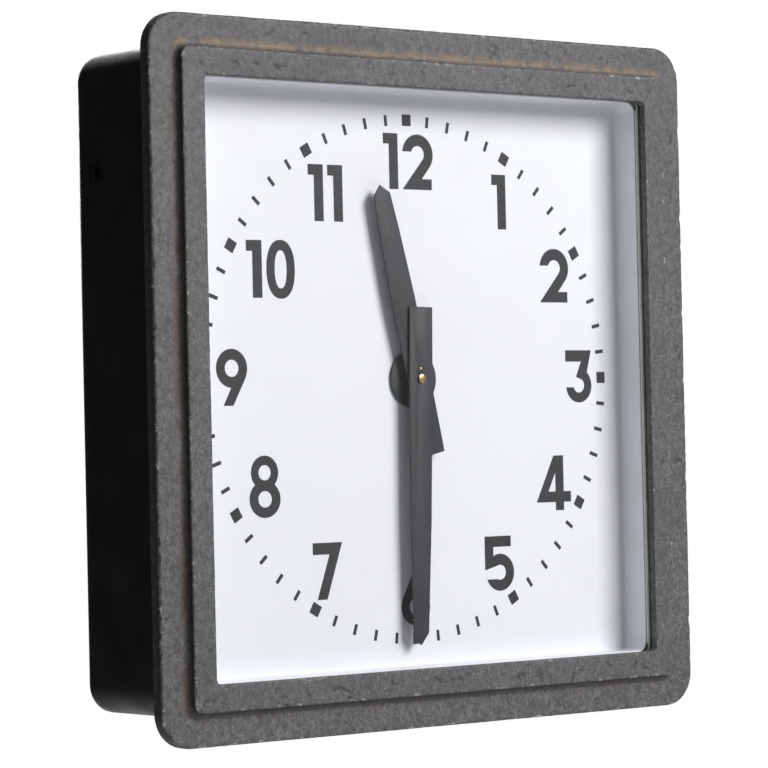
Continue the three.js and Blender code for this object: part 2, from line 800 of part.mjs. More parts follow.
function handNut() {
  const back = minuteHandFront - gap - gap;
  return rod('y', arborRadius + 0.5, back - 1.1, back, 0, 0, 24);
}

// ---------- glazed frame ----------

function frontFrame() {
  const edge = frameHalf;
  const stepTop = 1.4;
  const lipEdge = 1;
  const backEdge = 0.7;
  const raisedCorner = (half) => raisedCornerRadius + half - raisedHalf;
  const openingCorner = (half) => openingCornerRadius + half - openingHalf;
  const edgeCorner = (half) => frameCornerRadius + half - edge;
  const skirtCorner = (half) => caseCornerRadius + half - caseHalf;
  const coveHalf = raisedHalf + coveRadius;
  const roundingHalf = edge - flangeRounding;
  const roundingFront = flangeFront + flangeRounding;
  return skin([
    { half: rebateHalf, radius: rebateCornerRadius, y: lipBack },
    { half: openingHalf, radius: openingCornerRadius, y: lipBack },
    ...roundedLoops(openingHalf + lipEdge, frameFront + lipEdge, lipEdge, 180, 270, openingCorner, 2),
    ...roundedLoops(raisedHalf - stepTop, frameFront + stepTop, stepTop, 270, 360, raisedCorner, 3),
    ...roundedLoops(coveHalf, flangeFront - coveRadius, coveRadius, 180, 90, raisedCorner, 4),
    ...roundedLoops(roundingHalf, roundingFront, flangeRounding, 270, 360, edgeCorner, 4),
    { half: edge, radius: frameCornerRadius, y: flangeBack - backEdge },
    { half: edge - backEdge, radius: frameCornerRadius - backEdge, y: flangeBack },
    { half: skirtOuterHalf, radius: skirtCorner(skirtOuterHalf), y: flangeBack },
    { half: skirtOuterHalf, radius: skirtCorner(skirtOuterHalf), y: flangeBack + skirtDepth },
    { half: skirtInnerHalf, radius: skirtCorner(skirtInnerHalf), y: flangeBack + skirtDepth },
    { half: skirtInnerHalf, radius: skirtCorner(skirtInnerHalf), y: beddingBack },
    { half: rebateHalf, radius: rebateCornerRadius, y: beddingBack },
  ], true);
}

function glassPane() {
  return plate(roundedSquare(rebateHalf - gap, rebateCornerRadius - gap), glassBack, glassFront);
}

function glassBedding() {
  const outer = { half: rebateHalf - gap, radius: rebateCornerRadius - gap };
  const inner = { half: openingHalf + 0.8, radius: openingCornerRadius };
  return skin([
    { ...inner, y: beddingBack },
    { ...inner, y: beddingFront },
    { ...outer, y: beddingFront },
    { ...outer, y: beddingBack },
  ], true);
}

// Four flat strips hold the glass in its rebate from behind.
function glassStrip(turn) {
  const low = [-openingHalf + 5, stripFront, openingHalf + 0.8];
  const high = [openingHalf - 5, stripBack, skirtInnerHalf - 1.7];
  const strip = block(low, high);
  return strip.rotateY(turn * Math.PI / 2);
}

function doorSeal() {
  const back = -caseDepth - gap;
  const outer = caseHalf + rimFlare - 0.4;
  const corner = caseCornerRadius + rimFlare - 0.4;
  return skin([
    { half: outer - sealWidth, radius: corner - sealWidth, y: back },
    { half: outer - sealWidth, radius: corner - sealWidth, y: back - sealThickness },
    { half: outer, radius: corner, y: back - sealThickness },
    { half: outer, radius: corner, y: back },
  ], true);
}

// ---------- hinges ----------

function caseHinge(side) {
  const middle = side * hingeSpacing / 2;
  const low = middle - hingeKnuckle;
  const knuckle = rod('x', hingePinRadius + knuckleWall, low, middle, hingeY, hingeZ);
  const leafBottom = caseHalf + gap;
  const leafTop = leafBottom + leafThickness;
  const leaf = block([low, hingeY + 7, leafBottom], [middle, hingeY + caseLeafReach, leafTop]);
  const arm = block([low, hingeY + 1, hingeZ - 4.3], [middle, hingeY + 8, hingeZ - 1.5]);
  const link = block([low, hingeY + 7, leafBottom], [middle, hingeY + 9, hingeZ - 1.5]);
  const bore = rod('x', hingePinRadius + gap, low - 1, middle + 1, hingeY, hingeZ);
  return cut(join(knuckle, leaf, arm, link), bore);
}

function frameHinge(side) {
  const low = side * hingeSpacing / 2 + 0.4;
  const high = low + hingeKnuckle;
  const knuckle = rod('x', hingePinRadius + knuckleWall, low, high, hingeY, hingeZ);
  const face = flangeBack + gap;
  const leaf = block([low, face, hingeZ - 4], [high + frameLeafReach, face + leafThickness, hingeZ + 9]);
  const web = block([low, face, hingeZ - 2], [high, hingeY - 1, hingeZ + 2.5]);
  const bore = rod('x', hingePinRadius + gap, low - 1, high + 1, hingeY, hingeZ);
  return cut(join(knuckle, leaf, web), bore);
}

function hingePin(side) {
  const middle = side * hingeSpacing / 2;
  const low = middle - hingeKnuckle;
  const high = middle + hingeKnuckle;
  const pin = rod('x', hingePinRadius, low - 0.6, high + 2, hingeY, hingeZ, 16);
  const head = rod('x', pinHeadRadius, low - 2.2, low - gap, hingeY, hingeZ, 16);
  return join(pin, head);
}

// ---------- latch ----------

function latchStud() {
  const wall = -caseHalf - gap;
  const under = latchTop - latchPlate;
  const post = rod('z', latchPostRadius, under - 1, wall, 0, -latchPivotSetback, 16);
  const collar = rod('z', latchCollarRadius, latchTop + gap, wall, 0, -latchPivotSetback, 16);
  const head = rod('z', latchCollarRadius, under - 4, under - gap, 0, -latchPivotSetback, 16);
  return join(post, collar, head);
}

// The hook lies open along -X at rest; a quarter turn swings its nose in front of the keeper's upstand.
function latchHook() {
  const inner = latchReach - 3.6;
  const outline = polygon([
    [-7, 9], [-7, -6], [-10, -6], [-10, -latchReach], [6, -latchReach], [6, -inner], [-4, -inner],
    [-4, -9], [7, -6], [7, 9], [4, 30], [-4, 30],
  ]);
  const hook = prism(outline, latchTop - latchPlate, latchTop);
  const bore = rod('z', latchPostRadius + runningGap, latchTop - latchPlate - 1, latchTop + 1, 0, 0, 16);
  return cut(hook, bore).rotateZ(-Math.PI / 2).translate(0, -latchPivotSetback, 0);
}

function latchKeeper() {
  const face = flangeBack + gap;
  const armBottom = latchTop - latchPlate - 5.4;
  const armTop = latchTop - latchPlate - 3;
  const upFront = -latchPivotSetback - latchReach + 4;
  const foot = block([-12, face, armBottom], [18, face + 2, latchTop + 1.5]);
  const arm = block([0, face, armBottom], [keeperWidth, upFront + keeperSheet, armTop]);
  const upstand = block([0, upFront, armBottom], [keeperWidth, upFront + keeperSheet, latchTop + 0.6]);
  return join(foot, arm, upstand);
}

// ---------- assembly ----------

addPiece('case_body', caseBody(), caseBlack);
addPiece('hanging_bar', hangingBar(), zincSteel);
addPiece('side_screw_left', sideScrew(-1), caseBlack);
addPiece('side_screw_right', sideScrew(1), caseBlack);
addPiece('gland_body', glandBody(), brass);
addPiece('gland_locknut', glandLocknut(), brass);
addPiece('gland_cap', glandCap(), brass);
addPiece('gland_seal', glandSeal(), rubber);
addPiece('terminal_block', terminalBlock(), bakelite);
addPiece('terminal_screw_left', terminalScrew(-1), brass);
addPiece('terminal_screw_right', terminalScrew(1), brass);
addPiece('coil_lead_left', coilLead(-1), clothLead);
addPiece('coil_lead_right', coilLead(1), clothLead);
addPiece('dial_tray', dialTray(), dialWhite);
addPiece('tray_rail_left', trayRail(-1), zincSteel);
addPiece('tray_rail_right', trayRail(1), zincSteel);
traySpots().forEach((spot, index) => addPiece(`tray_screw_${index + 1}`, trayScrew(spot), zincSteel));
addPiece('centre_cover_disc', coverDisc(), handGrey);
addPiece('movement_front_plate', frontPlate(), brass);
addPiece('movement_back_plate', backPlate(), brass);
pillarSpots().forEach((spot, index) => addPiece(`movement_pillar_${index + 1}`, pillar(spot), steel));
addPiece('magnet_yoke', magnetYoke(), iron);
addPiece('coil_left', coil(-1), windingRed);
addPiece('coil_right', coil(1), windingRed);
addPiece('backstop_spring', backstopSpring(), steel);
addPiece('intermediate_stud', intermediateStud(), steel);
addPiece('armature', armature(), iron);
addPiece('armature_arbor', armatureArbor(), steel);
addPiece('driving_pawl', pawl(), steel);
addPiece('centre_arbor', centreArbor(), steel);
addPiece('ratchet_wheel', ratchetWheel(), brass);
addPiece('intermediate_wheel', intermediateWheel(), brass);
addPiece('hour_wheel', hourWheel(), brass);
addPiece('hour_hand', hourHand(), handGrey);
addPiece('minute_hand', minuteHand(), handGrey);
addPiece('hand_nut', handNut(), brass);
addPiece('front_frame', frontFrame(), castGrey);
addPiece('glass_pane', glassPane(), clearGlass);
addPiece('glass_bedding', glassBedding(), putty);
['top', 'right', 'bottom', 'left'].forEach((name, turn) => {
  addPiece(`glass_strip_${name}`, glassStrip(turn), dialWhite);
});
addPiece('door_seal', doorSeal(), rubber);
addPiece('case_hinge_left', caseHinge(-1), castGrey);
addPiece('case_hinge_right', caseHinge(1), castGrey);
addPiece('frame_hinge_left', frameHinge(-1), castGrey);
addPiece('frame_hinge_right', frameHinge(1), castGrey);
addPiece('hinge_pin_left', hingePin(-1), steel);
addPiece('hinge_pin_right', hingePin(1), steel);
addPiece('latch_stud', latchStud(), zincSteel);
addPiece('latch_hook', latchHook(), zincSteel);
addPiece('latch_keeper', latchKeeper(), zincSteel);

export default model;
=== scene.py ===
import math
import random

import bmesh
import bpy
import numpy as np
from mathutils import Matrix, Vector, noise
from mathutils.geometry import delaunay_2d_cdt


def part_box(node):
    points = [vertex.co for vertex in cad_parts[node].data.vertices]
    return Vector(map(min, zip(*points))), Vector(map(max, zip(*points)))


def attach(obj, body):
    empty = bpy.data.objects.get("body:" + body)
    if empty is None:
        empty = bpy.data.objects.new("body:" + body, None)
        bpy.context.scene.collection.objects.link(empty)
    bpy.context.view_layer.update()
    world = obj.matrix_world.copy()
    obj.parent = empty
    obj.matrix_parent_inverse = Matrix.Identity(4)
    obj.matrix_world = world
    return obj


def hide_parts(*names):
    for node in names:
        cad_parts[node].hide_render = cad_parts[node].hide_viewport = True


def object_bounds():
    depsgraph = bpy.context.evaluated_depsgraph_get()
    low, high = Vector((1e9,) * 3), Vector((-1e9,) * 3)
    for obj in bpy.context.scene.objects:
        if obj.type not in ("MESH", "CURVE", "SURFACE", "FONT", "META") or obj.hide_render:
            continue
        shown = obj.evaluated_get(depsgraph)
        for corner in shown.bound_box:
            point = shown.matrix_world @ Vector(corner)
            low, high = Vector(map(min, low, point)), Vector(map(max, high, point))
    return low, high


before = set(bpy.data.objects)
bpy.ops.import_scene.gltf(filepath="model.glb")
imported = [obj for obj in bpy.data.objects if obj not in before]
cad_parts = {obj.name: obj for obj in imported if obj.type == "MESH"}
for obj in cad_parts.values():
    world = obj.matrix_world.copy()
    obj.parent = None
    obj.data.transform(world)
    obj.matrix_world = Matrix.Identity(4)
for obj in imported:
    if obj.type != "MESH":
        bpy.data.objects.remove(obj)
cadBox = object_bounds()

mm = 0.001


# ---- mesh helpers ----

def signedVolume(points, faces):
    total = 0.0
    for face in faces:
        first = points[face[0]]
        for here, there in zip(face[1:-1], face[2:]):
            total += np.dot(first, np.cross(points[here], points[there]))
    return total / 6


def linkedObject(name, data):
    piece = bpy.data.objects.new(name, data)
    bpy.context.scene.collection.objects.link(piece)
    return piece


def makePiece(name, points, faces, material, sharpAngle=35):
    mesh = bpy.data.meshes.new(name)
    mesh.from_pydata([tuple(map(float, point)) for point in points], [], faces)
    mesh.materials.append(material)
    mesh.shade_smooth()
    mesh.set_sharp_from_angle(angle=math.radians(sharpAngle))
    return linkedObject(name, mesh)


# Gives the piece its body and hides the CAD nodes that it stands for; its slot is not used.
def settle(piece, body, slot, *nodes):
    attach(piece, body)
    if nodes:
        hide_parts(*nodes)
    return piece


# Turns a piece with modifiers into a plain mesh at the origin.
def bake(piece, name=None, sharpAngle=35):
    graph = bpy.context.evaluated_depsgraph_get()
    mesh = bpy.data.meshes.new_from_object(piece.evaluated_get(graph), depsgraph=graph)
    piece.modifiers.clear()
    piece.data = mesh
    mesh.shade_smooth()
    mesh.set_sharp_from_angle(angle=math.radians(sharpAngle))
    if name:
        mesh.name = name
    return piece


# Cuts the tools out of a piece and throws them away.
def cutAway(piece, tools, sharpAngle=35):
    for tool in tools:
        cutter = piece.modifiers.new("opening", "BOOLEAN")
        cutter.operation = "DIFFERENCE"
        cutter.solver = "EXACT"
        cutter.object = tool
    bake(piece, sharpAngle=sharpAngle)
    for tool in tools:
        bpy.data.objects.remove(tool)


def meshPoints(mesh):
    return np.array([vertex.co for vertex in mesh.vertices])


# Moves each vertex along its normal.
def pushOut(mesh, shift):
    normals = np.array([vertex.normal for vertex in mesh.vertices])
    mesh.vertices.foreach_set("co", (meshPoints(mesh) + normals * shift[:, None]).ravel())
    mesh.update()


# A ring of points round a rounded square in the plane of the dial; every ring has the same count.
def squareRing(half, radius, level, size):
    cornerSteps, sideSteps = size["cornerSteps"], size["sideSteps"]
    straight = half - radius
    corners = []
    for quarter in range(4):
        turn = quarter * math.pi / 2
        c, s = math.cos(turn), math.sin(turn)
        middle = (straight * (c - s), straight * (s + c))
        for step in range(cornerSteps + 1):
            angle = turn + step / cornerSteps * math.pi / 2
            corners.append((middle[0] + radius * math.cos(angle), middle[1] + radius * math.sin(angle)))
    points = []
    for index, point in enumerate(corners):
        points.append(point)
        if index % (cornerSteps + 1) == cornerSteps:
            following = corners[(index + 1) % len(corners)]
            for step in range(1, sideSteps):
                share = step / sideSteps
                points.append(tuple(a + (b - a) * share for a, b in zip(point, following)))
    return np.array([(x, level, z) for x, z in points])


# Quads between rings of equal count. A closed skin joins its last ring to its first.
def skinFaces(ringCount, pointCount, closed):
    faces = []
    for ring in range(ringCount if closed else ringCount - 1):
        here = ring * pointCount
        there = (ring + 1) % ringCount * pointCount
        for point in range(pointCount):
            following = (point + 1) % pointCount
            faces.append((here + point, there + point, there + following, here + following))
    return faces


def skinPiece(name, rings, material, closed=True, sharpAngle=35):
    points = np.concatenate(rings)
    faces = skinFaces(len(rings), len(rings[0]), closed)
    if not closed:
        last = (len(rings) - 1) * len(rings[0])
        faces.append(tuple(reversed(range(len(rings[0])))))
        faces.append(tuple(range(last, last + len(rings[0]))))
    if signedVolume(points, faces) < 0:
        faces = [face[::-1] for face in faces]
    return makePiece(name, points, faces, material, sharpAngle)


# A turned piece: (radius, level) from its back to its front along an axis, about a centre.
def turnedPiece(name, profile, centre, axis, material, sides=48, sharpAngle=35):
    along = Vector(axis).normalized()
    across = along.orthogonal().normalized()
    beside = along.cross(across)
    rings = []
    angles = [2 * math.pi * side / sides for side in range(sides)]
    for radius, level in profile:
        middle = Vector(centre) + along * level
        rings.append(np.array([middle + (across * math.cos(a) + beside * math.sin(a)) * radius
                               for a in angles]))
    return skinPiece(name, rings, material, closed=False, sharpAngle=sharpAngle)


def meshFrom(name, work, material):
    mesh = bpy.data.meshes.new(name)
    work.to_mesh(mesh)
    work.free()
    mesh.materials.clear()
    mesh.materials.append(material)
    return linkedObject(name, mesh)


# A clean copy of a CAD node with softened edges.
def softenedCopy(node, name, width, material, segments=2):
    work = bmesh.new()
    work.from_mesh(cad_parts[node].data)
    bmesh.ops.remove_doubles(work, verts=work.verts, dist=1e-6)
    bmesh.ops.dissolve_limit(work, angle_limit=math.radians(1), verts=work.verts, edges=work.edges)
    piece = meshFrom(name, work, material)
    bevel = piece.modifiers.new("softEdge", "BEVEL")
    bevel.width = width
    bevel.segments = segments
    bevel.limit_method = "ANGLE"
    bevel.angle_limit = math.radians(30)
    bevel.use_clamp_overlap = True
    return bake(piece)


# ---- node helpers ----

class NodeTree:
    def __init__(self, tree):
        self.tree = tree

    def add(self, kind, **settings):
        node = self.tree.nodes.new(kind)
        for key, value in settings.items():
            setattr(node, key, value)
        return node

    def put(self, value, socket):
        if isinstance(value, bpy.types.NodeSocket):
            self.tree.links.new(value, socket)
        else:
            socket.default_value = (*value, 1.0) if socket.type == "RGBA" else value

    # Adds a node, feeds its inputs and gives back one of its outputs.
    def run(self, kind, inputs, output=0, **settings):
        node = self.add(kind, **settings)
        for key, value in inputs.items():
            self.put(value, node.inputs[key])
        return node.outputs[output]

    def maths(self, operation, *values):
        return self.run("ShaderNodeMath", dict(enumerate(values)), operation=operation)

    def times(self, first, second):
        return self.maths("MULTIPLY", first, second)


# A material whose nodes read the object's own coordinates.
class Finish(NodeTree):
    def __init__(self, name, roughness=0.5, metallic=0.0):
        self.material = bpy.data.materials.new(name)
        self.material.use_nodes = True
        super().__init__(self.material.node_tree)
        self.shader = self.tree.nodes["Principled BSDF"]
        self.shader.inputs["Roughness"].default_value = roughness
        self.shader.inputs["Metallic"].default_value = metallic
        self.place = self.add("ShaderNodeTexCoord").outputs["Object"]

    def stretched(self, scale):
        return self.run("ShaderNodeMapping", {"Vector": self.place, "Scale": scale})

    # Size is the width of one feature in millimetres.
    def noise(self, size, detail=2.0, roughness=0.5, place=None, distortion=0.0):
        return self.run("ShaderNodeTexNoise", {
            "Vector": place or self.place, "Scale": 1 / (size * mm), "Detail": detail,
            "Roughness": roughness, "Distortion": distortion,
        })

    # Distance from the middle of the nearest cell.
    def cells(self, size):
        return self.run("ShaderNodeTexVoronoi", {"Vector": self.place, "Scale": 1 / (size * mm)})

    # Bands as wide as the thread or wire that they show.
    def threads(self, size, place=None, distortion=0.0):
        inputs = {"Vector": place or self.place, "Scale": 1 / (size * mm) / 2, "Distortion": distortion}
        return self.run("ShaderNodeTexWave", inputs, "Fac", wave_type="BANDS", bands_direction="Z")

    def band(self, value, low, high, toLow=0.0, toHigh=1.0):
        return self.run("ShaderNodeMapRange", {
            "Value": value, "From Min": low, "From Max": high, "To Min": toLow, "To Max": toHigh,
        }, interpolation_type="SMOOTHSTEP")

    def mix(self, factor, first, second):
        return self.run("ShaderNodeMix", {"Factor": factor, 6: first, 7: second}, 2, data_type="RGBA")

    def attribute(self, name):
        return self.run("ShaderNodeAttribute", {}, "Fac", attribute_name=name)

    # Depth is in millimetres.
    def bump(self, height, depth, strength=1.0, under=None):
        inputs = {"Height": height, "Distance": depth * mm, "Strength": strength}
        if under is not None:
            inputs["Normal"] = under
        return self.run("ShaderNodeBump", inputs)

    # Mixes the paint's shader with a clear one and shows the result.
    def clearBy(self, factor, clearFirst):
        clear = self.run("ShaderNodeBsdfTransparent", {})
        paint = self.shader.outputs["BSDF"]
        first, second = (clear, paint) if clearFirst else (paint, clear)
        mixed = self.run("ShaderNodeMixShader", {"Fac": factor, 1: first, 2: second})
        self.put(mixed, self.tree.nodes["Material Output"].inputs["Surface"])

    # Lays another colour over what is there so far.
    def coat(self, factor, paint):
        self.base = self.mix(factor, self.base, paint)

    def wear(self, roughness=None, normal=None):
        for value, socket in ((self.base, "Base Color"), (roughness, "Roughness"), (normal, "Normal")):
            if value is not None:
                self.put(value, self.shader.inputs[socket])
        return self.material


# ---- finishes ----

castLook = {
    "paint": (0.108, 0.102, 0.109),
    "paintDark": (0.050, 0.047, 0.050),
    "paintPale": (0.190, 0.180, 0.191),
    "pit": (0.020, 0.018, 0.018),
    "bareMetal": (0.50, 0.49, 0.46),
    "dust": (0.225, 0.165, 0.105),
    "rust": (0.085, 0.042, 0.020),
    # Painted shade for the step walls, the lip and the flange's outer side.
    "paintedShade": (0.018, 0.015, 0.014),
    "grain": 1.7,
    "mottle": 11.0,
    "patch": 60.0,
}


def castFinish():
    look = castLook
    finish = Finish("castGreyPaint", 0.6)
    grain = finish.noise(look["grain"], 3.0, 0.65)
    mottle = finish.noise(look["mottle"], 3.0, 0.6)
    patch = finish.noise(look["patch"], 2.0)
    specks = finish.cells(3.4)
    coarse = finish.noise(look["grain"] * 2.4, 4.0, 0.75, finish.stretched((1.0, 1.0, 0.7)))
    coarse = finish.times(coarse, 0.45)
    speckle = finish.maths("ADD", finish.times(grain, 0.55), coarse)
    finish.base = finish.mix(finish.band(speckle, 0.38, 0.66), look["paintDark"], look["paintPale"])
    finish.coat(finish.band(mottle, 0.30, 0.72, 0.05, 0.45), look["paint"])
    finish.coat(finish.band(patch, 0.35, 0.75, 0.0, 0.30), look["paintDark"])
    where = finish.band(finish.noise(7), 0.56, 0.64)
    fleck = finish.times(finish.band(specks, 0.20, 0.10), where)
    finish.coat(finish.times(fleck, 0.55), look["pit"])
    where = finish.band(finish.noise(16), 0.58, 0.64)
    chips = finish.times(finish.band(finish.cells(5.1), 0.13, 0.07), where)
    finish.coat(finish.times(chips, 0.55), look["bareMetal"])
    rough = finish.band(grain, 0.3, 0.7, 0.50, 0.70)

    groove = finish.attribute("groove")
    dusty = finish.times(groove, finish.attribute("dusty"))
    broken = finish.band(finish.noise(9, 4.0, 0.6), 0.30, 0.60)
    finish.coat(finish.times(dusty, broken), look["dust"])
    rusty = finish.times(groove, finish.attribute("rusty"))
    streaks = finish.band(finish.noise(12, 4.0, 0.65, finish.stretched((1.0, 1.0, 0.35))), 0.38, 0.62)
    finish.coat(finish.times(rusty, streaks), look["rust"])
    # Painted shade: darkens the step walls, the lip and the flange's outer side.
    finish.coat(finish.times(finish.attribute("paintedShade"), 0.92), look["paintedShade"])
    finish.coat(finish.times(finish.attribute("pit"), 0.85), look["pit"])
    worn = finish.band(finish.noise(6.5, 5.0, 0.7), 0.56, 0.68)
    worn = finish.times(worn, finish.attribute("edge"))
    finish.coat(finish.times(worn, 0.85), look["bareMetal"])

    relief = finish.bump(grain, 0.35, 0.55)
    relief = finish.bump(finish.noise(4.5, 2.0), 0.4, 0.35, relief)
    return finish.wear(rough, relief)


caseLook = {
    "paint": (0.0060, 0.0050, 0.0068),
    "paintWorn": (0.015, 0.013, 0.015),
    "rust": (0.060, 0.026, 0.012),
    "dust": (0.085, 0.068, 0.048),
}


def caseFinish():
    look = caseLook
    finish = Finish("caseBlackPaint", 0.5)
    finish.shader.inputs["Specular IOR Level"].default_value = 0.35
    mottle = finish.noise(38, 4.0, 0.6)
    grain = finish.noise(2.2, 3.0, 0.6)
    finish.base = finish.mix(finish.band(mottle, 0.42, 0.74, 0.0, 0.8), look["paint"], look["paintWorn"])
    where = finish.band(finish.noise(34), 0.56, 0.66)
    scuff = finish.times(finish.band(finish.cells(11), 0.10, 0.05), where)
    finish.coat(finish.times(scuff, 0.5), look["dust"])
    spots = finish.band(finish.noise(13, 4.0, 0.65), 0.62, 0.74)
    spots = finish.times(spots, finish.attribute("rusty"))
    finish.coat(spots, look["rust"])
    broken = finish.band(finish.noise(17, 4.0), 0.34, 0.66)
    settled = finish.times(finish.attribute("dusty"), broken)
    finish.coat(finish.times(settled, 0.7), look["dust"])
    rough = finish.band(mottle, 0.35, 0.7, 0.36, 0.56)
    relief = finish.bump(grain, 0.12, 0.5)
    return finish.wear(rough, finish.bump(mottle, 0.8, 0.25, relief))


# White stoved paint, with faint grey clouding and a few specks of dust.
def whiteFinish(name, paint, tint, roughness):
    finish = Finish(name, roughness)
    cloud = finish.noise(75, 3.0, 0.55)
    where = finish.band(finish.noise(60), 0.52, 0.66)
    fleck = finish.times(finish.band(finish.cells(17), 0.055, 0.03), where)
    finish.base = finish.mix(finish.band(cloud, 0.35, 0.75, 0.0, 0.55), paint, tint)
    finish.coat(finish.times(fleck, 0.35), (0.30, 0.27, 0.22))
    rough = finish.band(cloud, 0.3, 0.7, roughness - 0.05, roughness + 0.08)
    return finish.wear(rough, finish.bump(finish.noise(1.6, 2.0), 0.05, 0.25))


# Semi-matt dark paint with fine brush grain, worn a little paler where it is touched.
def darkFinish(name, paint, pale, roughness, grain=1.2):
    finish = Finish(name, roughness)
    fine = finish.noise(grain, 3.0, 0.6)
    cloud = finish.noise(24, 3.0, 0.6)
    finish.base = finish.mix(finish.band(cloud, 0.35, 0.72), paint, pale)
    finish.coat(finish.band(fine, 0.50, 0.78, 0.0, 0.35), pale)
    rough = finish.band(cloud, 0.3, 0.7, roughness - 0.06, roughness + 0.08)
    return finish.wear(rough, finish.bump(fine, 0.06, 0.35))


# Metal with fine scratches across it, a dulled film and stains.
def metalFinish(name, metal, dull, roughness, scratch=(1.0, 1.0, 14.0), stain=0.5):
    finish = Finish(name, roughness, 1.0)
    lines = finish.noise(2.6, 4.0, 0.7, finish.stretched(scratch))
    cloud = finish.noise(11, 4.0, 0.62)
    finish.base = finish.mix(finish.band(cloud, 0.36, 0.70, 0.0, stain), metal, dull)
    finish.coat(finish.band(lines, 0.35, 0.70, 0.0, 0.25), dull)
    rough = finish.band(cloud, 0.3, 0.7, roughness - 0.05, roughness + 0.12)
    rough = finish.maths("ADD", rough, finish.band(lines, 0.3, 0.7, 0.0, 0.08))
    return finish.wear(rough, finish.bump(lines, 0.02, 0.35))


# Zinc plate shows its flat crystals and a powdery bloom.
def zincFinish():
    finish = Finish("zincPlate", 0.4, 0.85)
    crystal = finish.cells(6.0)
    cloud = finish.noise(18, 4.0, 0.6)
    finish.base = finish.mix(finish.band(crystal, 0.15, 0.75), (0.50, 0.51, 0.50), (0.36, 0.37, 0.37))
    finish.coat(finish.band(cloud, 0.50, 0.74, 0.0, 0.5), (0.62, 0.60, 0.54))
    rough = finish.band(cloud, 0.3, 0.7, 0.34, 0.58)
    return finish.wear(rough, finish.bump(finish.noise(1.4, 3.0), 0.03, 0.4))


def rubberFinish(name, paint, pale, roughness):
    finish = Finish(name, roughness)
    fine = finish.noise(1.0, 3.0, 0.6)
    bloom = finish.noise(15, 3.0, 0.6)
    finish.base = finish.mix(finish.band(bloom, 0.45, 0.75, 0.0, 0.7), paint, pale)
    rough = finish.band(bloom, 0.3, 0.7, roughness - 0.08, roughness + 0.06)
    return finish.wear(rough, finish.bump(fine, 0.1, 0.5))


# Enamelled wire laid turn by turn up each coil.
def windingFinish():
    finish = Finish("windingWire", 0.35)
    turns = finish.threads(1.6, None, 0.15)
    # Each turn is painted dark where it meets the next: painted shade in the crevices between turns.
    finish.base = finish.mix(turns, (0.085, 0.020, 0.010), (0.30, 0.085, 0.035))
    dull = finish.band(finish.noise(6, 3.0), 0.5, 0.75, 0.0, 0.5)
    finish.coat(dull, (0.12, 0.035, 0.02))
    return finish.wear(finish.band(turns, 0.0, 1.0, 0.48, 0.30), finish.bump(turns, 0.3, 0.8))


# Cotton braid over the lead: two sets of crossing threads.
def clothFinish():
    finish = Finish("clothLead", 0.85)
    slants = [finish.run("ShaderNodeMapping", {
        "Vector": finish.place, "Rotation": (0, math.radians(turn), 0)}) for turn in (45, -45)]
    braid = finish.maths("MAXIMUM", *[finish.threads(1.0, slant) for slant in slants])
    # The gaps between the threads are painted dark: painted shade.
    finish.base = finish.mix(braid, (0.10, 0.075, 0.035), (0.29, 0.22, 0.11))
    finish.coat(finish.band(finish.noise(5), 0.5, 0.8, 0.0, 0.6), (0.16, 0.12, 0.07))
    return finish.wear(finish.band(braid, 0.0, 1.0, 0.95, 0.8), finish.bump(braid, 0.2, 0.8))


glassLook = {
    "body": (0.86, 0.92, 0.93),
    "film": 0.008,
    "smear": 0.022,
    "sharpness": 0.04,
}


# Old plate glass: clear, mirror-like only at its surface, with a faint film of dust in smears.
def glassFinish():
    look = glassLook
    finish = Finish("plateGlass", look["sharpness"], 0.55)
    fresnel = finish.run("ShaderNodeFresnel", {"IOR": 1.45})
    smear = finish.noise(95, 4.0, 0.6, finish.stretched((0.6, 1.0, 1.6)), 0.6)
    film = finish.band(smear, 0.42, 0.80, look["film"], look["film"] + look["smear"])
    outer = finish.maths("SUBTRACT", 1.0, finish.run("ShaderNodeNewGeometry", {}, "Backfacing"))
    shine = finish.maths("ADD", film, finish.times(fresnel, 0.8))
    finish.clearBy(finish.times(outer, shine), True)
    speck = finish.band(finish.noise(4, 3.0), 0.62, 0.78)
    finish.base = finish.mix(finish.times(speck, 0.4), look["body"], (0.60, 0.57, 0.50))
    finish.material.surface_render_method = "BLENDED"
    return finish.wear(finish.band(smear, 0.4, 0.8, look["sharpness"], 0.16))


materials = {
    "castPaint": castFinish(),
    "casePaint": caseFinish(),
    "dialEnamel": whiteFinish("dialEnamel", (0.845, 0.858, 0.900), (0.790, 0.800, 0.835), 0.42),
    "stripPaint": whiteFinish("stripPaint", (0.70, 0.72, 0.74), (0.60, 0.61, 0.62), 0.5),
    "dialInk": darkFinish("dialInk", (0.012, 0.012, 0.015), (0.022, 0.022, 0.026), 0.62, 2.0),
    "handPaint": darkFinish("handPaint", (0.024, 0.023, 0.029), (0.035, 0.034, 0.042), 0.58),
    "discPaint": darkFinish("discPaint", (0.034, 0.033, 0.040), (0.050, 0.049, 0.057), 0.42),
    "clearGlass": glassFinish(),
    "zincSteel": zincFinish(),
    "brightSteel": metalFinish("brightSteel", (0.58, 0.59, 0.60), (0.33, 0.33, 0.33), 0.28),
    "softIron": metalFinish("softIron", (0.22, 0.22, 0.235), (0.10, 0.085, 0.07), 0.45),
    "brass": metalFinish("agedBrass", (0.80, 0.58, 0.27), (0.36, 0.23, 0.09), 0.30),
    "rubber": rubberFinish("sealRubber", (0.018, 0.018, 0.019), (0.055, 0.053, 0.050), 0.8),
    "putty": rubberFinish("glazingPutty", (0.50, 0.47, 0.41), (0.32, 0.29, 0.24), 0.85),
    "bakelite": rubberFinish("brownBakelite", (0.040, 0.016, 0.009), (0.075, 0.034, 0.018), 0.34),
    "winding": windingFinish(),
    "clothLead": clothFinish(),
}
print("finishes made:", len(materials))


# ---- cast front frame ----

